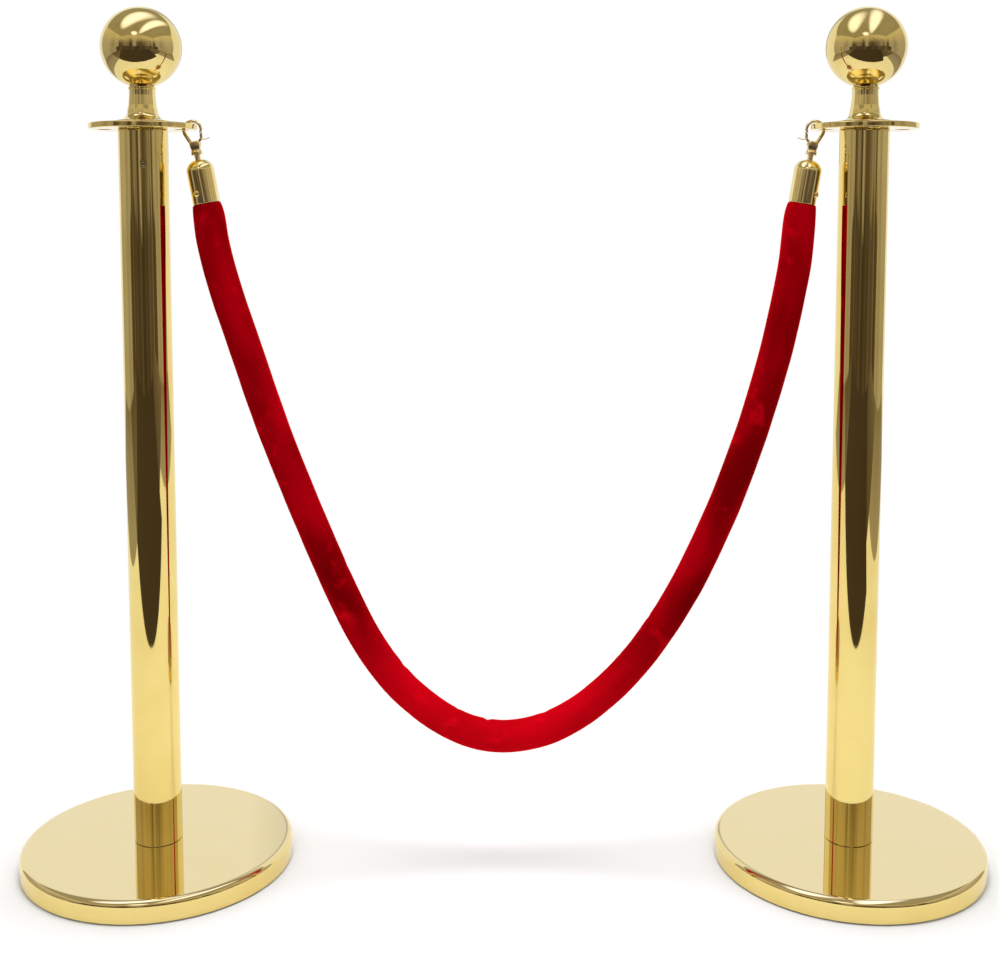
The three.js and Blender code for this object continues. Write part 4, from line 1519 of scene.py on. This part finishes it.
@dataclass
class VelvetRope:
    """The stuffed velvet tube between the two caps."""

    radius: float = 17 * MM
    mouth_radius: float = 14.4 * MM
    swell: float = 9 * MM
    straight: float = 13 * MM
    end_round: float = 0.9 * MM
    rows: int = 880
    count: int = 80
    lumps: float = 0.3 * MM
    seam_depth: float = 0.8 * MM
    seam_facing: float = 62.0
    seam_wide: float = 0.07
    seed: int = 7
    creases: tuple[Crease, ...] = (
        Crease(0.395, 188, 1.1 * MM, 9 * MM),
        Crease(0.483, 183, 2.0 * MM, 8 * MM, 1.0),
        Crease(0.455, 200, 0.8 * MM, 6 * MM),
        Crease(0.535, 172, 0.7 * MM, 9 * MM),
        Crease(0.617, 214, 1.2 * MM, 5 * MM, 0.7),
        Crease(0.655, 186, 0.6 * MM, 8 * MM),
        Crease(0.3, 176, 0.5 * MM, 12 * MM),
    )

    def centreline(self, ends: Sequence[RopeFitting]) -> Array:
        """The rope's line: straight out of each cap, and through the route's points between.

        Args:
            ends: The left and the right fitting.

        Returns:
            The line's points, close together.
        """
        eye = joint_of("left_swivel")[0][2]
        first, last = ([end.mouth(0.0), end.mouth(self.straight)] for end in ends)
        middle = np.array([(x, 0.0, eye - drop) for x, drop in ROPE_ROUTE])
        return smooth_curve(np.concatenate([first, middle, last[::-1]]), 24)

    def surface(self, line: Array) -> Array:
        """The rope's skin.

        At a distance s along and an angle a round, the radius is the mouth's, growing to the rope's by
        1 - exp(-s / swell) from each end, plus slow waves of stuffing (sines of s and a), less a narrow bell
        for the sewn seam and a bell for each crease, with a low swelling beside it. The last stretch at each
        end is drawn in by a quarter circle.

        Args:
            line: The centreline.

        Returns:
            The grid, (rows, count, 3), open at both ends.
        """
        total = length_of(line)
        edge = self.end_round * (1 - np.cos(np.linspace(0, np.pi / 2, 6)))
        even = np.linspace(self.end_round, total - self.end_round, self.rows)[1:-1]
        s = np.concatenate([edge, even, total - edge[::-1]])
        a = np.arange(self.count) * 2 * np.pi / self.count
        near = np.minimum(s, total - s)[:, None]
        grown = 1 - np.exp(-near / self.swell)
        base = self.mouth_radius + (self.radius - self.mouth_radius) * grown
        drawn = np.maximum(self.end_round - near, 0)
        inset = self.end_round - np.sqrt(np.maximum(self.end_round**2 - drawn**2, 0))
        waves = np.random.default_rng(self.seed)
        stuffing = np.zeros((len(s), self.count))
        for turns in (0, 1, 2, 3):
            for bumps in (5.0, 11.0, 19.0, 31.0):
                phase = waves.uniform(0, 2 * np.pi, 2)
                size = waves.uniform(0.3, 1.0) / (1 + 0.35 * turns + bumps / 40)
                wave = np.sin(bumps * 2 * np.pi * s / total + phase[0])[:, None]
                stuffing += size * wave * np.cos(turns * a + phase[1])
        stuffing *= self.lumps / 2.2 * (1 - np.exp(-near / (3 * self.swell)))
        wander = np.radians(self.seam_facing) + 0.12 * np.sin(2 * np.pi * s / total * 2.3)[:, None]
        seam = self.seam_depth * np.exp(-((self.turned(a - wander) / self.seam_wide) ** 2)) * grown
        folds = np.zeros_like(stuffing)
        for crease in self.creases:
            skew = 0.35 * crease.reach * self.turned(a - np.radians(crease.facing))
            q = ((s[:, None] - crease.along * total - skew) / crease.reach) ** 2
            side = np.exp(-((self.turned(a - np.radians(crease.facing)) / crease.spread) ** 2))
            folds += crease.depth * side * (np.exp(-q * 4) - 0.35 * np.exp(-q / 2.5))
        radius = base - inset + stuffing - seam - folds
        ring = np.stack([np.cos(a), np.sin(a)], axis=1)
        return carried(ring, at_lengths(line, s), (0.0, 1.0, 0.0), radius[:, :, None])

    @staticmethod
    def turned(angle: Array) -> Array:
        """An angle brought to between minus and plus half a turn."""
        return (angle + np.pi) % (2 * np.pi) - np.pi

    def build(self, ends: Sequence[RopeFitting], fittings: Sequence[Piece]) -> Piece:
        """Args:
            ends: The left and the right fitting.
            fittings: The pieces on the rope. Not used.

        Returns:
            The rope.
        """
        line = self.centreline(ends)
        length = length_of(line)
        grid = stopped(self.surface(line))
        around = 2 * math.pi * self.radius
        rope = Shell().add(grid, uv_size=(length, around)).piece("velvet_rope")
        dressed(rope, Dress.VELVET, "rope", "rope")
        LOG.info("rope: %.3f m from mouth to mouth", length)
        return rope


# ---------------------------------------------------------------- the studio
@dataclass(frozen=True)
class Panel:
    """A flat part of the room, which only polished surfaces see.

    Its bands run along its first side. Above split they change to the upper ones, over a ragged edge, and
    near the top they fade into the light of the lamps. Its dark greys are brown and its light ones neutral.
    """

    name: str
    corners: tuple[tuple[float, float, float], ...]
    low: Bands
    high: Bands = ()
    split: float = 0.22
    ragged: float = 0.3
    brown: Colour = (1.0, 0.72, 0.54)
    neutral: Colour = (1.0, 0.94, 0.92)
    neutral_from: float = 0.42
    lamplight: Colour = (0.72, 0.65, 0.48)

    def bands(self, nodes: Nodes, along: Signal, stops: Bands) -> Signal:
        """The greys along the panel.

        Args:
            nodes: The panel's nodes.
            along: The place along the panel, 0 to 1.
            stops: Each band's (place, grey).

        Returns:
            The colour.
        """
        colours = []
        for at, grey in stops:
            share = min(grey / self.neutral_from, 1.0)
            colour = tuple(grey * (b + share * (n - b)) for b, n in zip(self.brown, self.neutral))
            colours.append((at, colour))
        return nodes.node("ShaderNodeValToRGB", {"stops": colours}, {0: along})

    def material(self) -> bpy.types.Material:
        """Makes the panel's glow.

        Returns:
            The material.
        """
        nodes = Nodes(self.name)
        place = nodes.place(source="UV")
        wobble = nodes.noise(nodes.place((13.0, 4.0, 1.0), "UV"), 1.0, 5.0, 0.8) - 0.5
        along = nodes.node("ShaderNodeSeparateXYZ", None, {0: place}, 0) + wobble * 0.01
        colour = self.bands(nodes, along, self.low)
        if self.high:
            up = nodes.node("ShaderNodeSeparateXYZ", None, {0: place}, 1) + wobble * self.ragged
            share = nodes.ramp(up, self.split, self.split + 0.03)
            colour = nodes.blend(share, colour, self.bands(nodes, along, self.high))
            colour = nodes.blend(nodes.ramp(up, 0.36, 0.95) * 0.85, colour, self.lamplight)
        return nodes.finish(nodes.node("ShaderNodeEmission", None, {"Color": colour, "Strength": 1.0}))


@dataclass(frozen=True)
class Ceiling:
    """The dim ceiling with its long soft lamps, each (x, y, half width, half length, turn in degrees)."""

    grey: Colour = (0.3, 0.27, 0.2)
    light_grey: Colour = (0.46, 0.43, 0.34)
    lamp: Colour = (1.75, 1.75, 2.3)
    lamps: tuple[tuple[float, float, float, float, float], ...] = (
        (-0.95, -0.35, 0.75, 1.8, -46.0),
        (0.85, -0.8, 0.5, 2.6, -13.0),
        (-0.7, -3.4, 0.6, 0.8, 0.0),
    )
    fade: float = 1.45

    def off(self, nodes: Nodes, place: Signal, axis: Array, middle: tuple[float, float]) -> Signal:
        """How far a place lies from a lamp's middle along an axis, in the axis's own unit.

        Args:
            nodes: The material's nodes.
            place: The place on the ceiling.
            axis: The direction, as long as one over the unit.
            middle: The lamp's middle, x and y.

        Returns:
            The distance, with its sign.
        """
        values = {0: place, 1: tuple(float(part) for part in axis)}
        reach = nodes.node("ShaderNodeVectorMath", {"operation": "DOT_PRODUCT"}, values, "Value")
        return reach - float(axis[0] * middle[0] + axis[1] * middle[1])

    def material(self) -> bpy.types.Material:
        """Makes the ceiling's glow: a lamp fades with the distance from its middle, in its own half sizes.

        Returns:
            The material.
        """
        nodes = Nodes("ceiling")
        clouds = nodes.noise(nodes.place((0.6, 0.6, 0.0)), 1.0, 3.0)
        colour = nodes.blend(clouds, self.grey, self.light_grey)
        place = nodes.place()
        for x, y, wide, long, turn in self.lamps:
            right = np.array([math.cos(math.radians(turn)), math.sin(math.radians(turn)), 0.0])
            ahead = np.array([-right[1], right[0], 0.0])
            across = self.off(nodes, place, right / wide, (x, y))
            along = self.off(nodes, place, ahead / long, (x, y))
            away = across * across + along * along
            colour = nodes.blend(1.0 - nodes.ramp(away, 0.0, self.fade), colour, self.lamp)
        return nodes.finish(nodes.node("ShaderNodeEmission", None, {"Color": colour, "Strength": 1.0}))


@dataclass
class Studio:
    """A white sweep in a dim room: the camera, the floor, soft lights, and what the mirrors see."""

    distance: float = 1.433
    height: float = 0.698
    aside: float = -0.0044
    down: float = 5.0
    lens: float = 49.1
    shift: float = -0.145
    floor_half: float = 6.0
    fade_from: float = 0.75
    fade_to: float = 1.8
    key_power: float = 50.0
    key_size: float = 1.2
    key_height: float = 2.9
    room_half: float = 4.0
    room_top: float = 3.0
    room_back: float = 2.2
    front_low: Bands = (
        (0.0, 0.2), (0.04, 0.07), (0.15, 0.1), (0.32, 0.07), (0.39, 0.12), (0.45, 0.055), (0.53, 0.07),
        (0.6, 0.1), (0.65, 0.06), (0.72, 0.13), (0.86, 0.1), (0.93, 0.12), (1.0, 0.22),
    )
    front_high: Bands = (
        (0.0, 0.13), (0.06, 0.14), (0.15, 0.28), (0.26, 0.24), (0.32, 0.07), (0.36, 0.09), (0.39, 0.38),
        (0.44, 0.42), (0.48, 0.15), (0.56, 0.1), (0.63, 0.13), (0.72, 0.2), (0.8, 0.3), (0.88, 0.22),
        (0.95, 0.34), (1.0, 0.3),
    )
    side_low: Bands = (
        (0.0, 0.2), (0.05, 0.08), (0.27, 0.1), (0.31, 0.42), (0.5, 0.36), (0.62, 0.46), (1.0, 0.42),
    )
    side_high: Bands = (
        (0.0, 0.1), (0.12, 0.12), (0.16, 0.4), (0.3, 0.46), (0.42, 0.34), (0.6, 0.5), (1.0, 0.46),
    )

    def camera(self) -> Piece:
        """The camera, a little above half height, looking slightly down, with its view shifted down.

        Returns:
            The camera.
        """
        data = bpy.data.cameras.new("camera")
        data.lens = self.lens
        data.sensor_width = 36.0
        data.shift_y = self.shift
        data.clip_end = 60.0
        camera = bpy.data.objects.new("camera", data)
        bpy.context.scene.collection.objects.link(camera)
        camera.location = (self.aside, -self.distance, self.height)
        camera.rotation_euler = (math.radians(90.0 - self.down), 0.0, 0.0)
        bpy.context.scene.camera = camera
        return camera

    def sheet(self, name: str, corners: Array, material: bpy.types.Material) -> Piece:
        """A flat four-cornered part of the stage.

        Args:
            name: The sheet's name.
            corners: Its corners, (4, 3).
            material: Its material.

        Returns:
            The sheet.
        """
        mesh = bpy.data.meshes.new(name)
        mesh.from_pydata([tuple(point) for point in corners], [], [(0, 1, 2, 3)])
        mesh.uv_layers.new(name="UVMap")
        mesh.uv_layers[0].data.foreach_set("uv", np.array([0, 0, 1, 0, 1, 1, 0, 1], dtype=np.float32))
        mesh.materials.append(material)
        sheet = bpy.data.objects.new(name, mesh)
        bpy.context.scene.collection.objects.link(sheet)
        return sheet

    def floor(self) -> Piece:
        """The plain white floor, which fades into the white surround a few steps away.

        Returns:
            The floor.
        """
        size, drop = self.floor_half, 0.2 * MM
        corners = [(-size, -size, -drop), (size, -size, -drop), (size, size, -drop), (-size, size, -drop)]
        nodes = Nodes("white floor")
        place = nodes.place()
        tone = nodes.blend(nodes.noise(place, 3.0, 3.0), (0.715, 0.715, 0.715), (0.735, 0.735, 0.735))
        away = nodes.node("ShaderNodeVectorMath", {"operation": "LENGTH"}, {0: place}, "Value")
        there = 1.0 - nodes.ramp(away, self.fade_from, self.fade_to)
        material = nodes.surface(Base_Color=tone, Roughness=0.95, Specular_IOR_Level=0.0, Alpha=there)
        return self.sheet("floor", np.array(corners), material)

    def mirrored(self, name: str, corners: Sequence[Sequence[float]], material: bpy.types.Material) -> Piece:
        """Puts up a sheet that only mirrors see.

        Args:
            name: The sheet's name.
            corners: Its four corners.
            material: Its material.

        Returns:
            The sheet.
        """
        sheet = self.sheet(name, np.array(corners), material)
        sheet.visible_camera = False
        sheet.visible_diffuse = False
        sheet.visible_shadow = False
        sheet.visible_transmission = False
        return sheet

    def room(self) -> list[Piece]:
        """The dim room round the white sweep, as the polished surfaces see it.

        Returns:
            Its parts.
        """
        r, top, back, z = self.room_half, self.room_top, self.room_back, 0.4 * MM
        walls = [
            ("front wall", (-r, -r), (r, -r), self.front_low, self.front_high),
            ("left wall", (-r, -r), (-r, back), self.side_low, self.side_high),
            ("right wall", (r, -r), (r, back), self.side_low, self.side_high),
        ]
        floors = [
            ("front floor", ((-1.7, -0.8), (1.2, -0.8), (2.4, -r), (-r, -r)), (0.07, 0.06)),
            ("left floor", ((-r, -0.8), (-1.7, -0.8), (-1.7, back), (-r, back)), (0.25, 0.4)),
            ("left front floor", ((-r, -r), (-3.9, -r), (-1.7, -0.8), (-r, -0.8)), (0.12, 0.2)),
            ("right floor", ((1.75, -1.2), (r, -1.2), (r, back), (1.75, back)), (0.4, 0.25)),
            ("right front floor", ((2.4, -r), (r, -r), (r, -1.2), (1.35, -1.2)), (0.12, 0.2)),
        ]
        panels = [
            Panel(name, ((*start, 0), (*end, 0), (*end, top), (*start, top)), low, high)
            for name, start, end, low, high in walls
        ]
        panels += [
            Panel(name, tuple((*corner, z) for corner in corners), ((0, greys[0]), (1, greys[1])))
            for name, corners, greys in floors
        ]
        drape = Panel(
            "grey drape",
            ((-0.98, 4.0, 0.9), (0.45, 4.0, 0.9), (0.75, 4.0, 5.5), (-1.25, 4.0, 5.5)),
            ((0.0, 1.0), (0.22, 0.6), (0.6, 0.56), (0.85, 0.9), (1.0, 1.0)),
            neutral=(1.0, 1.0, 1.0),
        )
        panels.append(drape)
        sheets = [self.mirrored(panel.name, panel.corners, panel.material()) for panel in panels]
        over = ((-r, -r, top), (r, -r, top), (r, back, top), (-r, back, top))
        return [*sheets, self.mirrored("ceiling", over, Ceiling().material())]

    def key(self) -> Piece:
        """One broad soft light straight overhead, which the mirrors see as the ceiling's lamps instead.

        Returns:
            The light.
        """
        data = bpy.data.lights.new("overhead", "AREA")
        data.size = self.key_size
        data.energy = self.key_power
        light = bpy.data.objects.new("overhead", data)
        light.location = (0.0, 0.0, self.key_height)
        light.visible_glossy = False
        bpy.context.scene.collection.objects.link(light)
        return light

    def world(self) -> bpy.types.World:
        """Even white light from all round.

        Returns:
            The world.
        """
        world = bpy.data.worlds.new("white surround")
        world.use_nodes = True
        world.node_tree.nodes["Background"].inputs["Color"].default_value = (1.0, 1.0, 1.0, 1.0)
        world.node_tree.nodes["Background"].inputs["Strength"].default_value = 1.0
        bpy.context.scene.world = world
        bpy.context.scene.view_settings.view_transform = "Standard"
        return world

    def build(self) -> None:
        """Sets up the camera, the floor, the room, the light and the surround."""
        self.camera()
        self.floor()
        self.room()
        self.key()
        self.world()
        LOG.info("studio: camera %.2f m away", self.distance)


def main() -> None:
    """Builds the set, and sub-assembly by sub-assembly."""
    logging.basicConfig(level=logging.INFO, format="%(name)s: %(message)s")
    Studio().build()
    ends = [RopeFitting("left"), RopeFitting("right")]
    fittings = [piece for end in ends for piece in end.build()]
    VelvetRope().build(ends, fittings)
    for side in ("left", "right"):
        pieces = Stanchion(side).build()
        LOG.info("%s stanchion: %d new pieces", side, len(pieces))


if __name__ == "__main__":
    main()
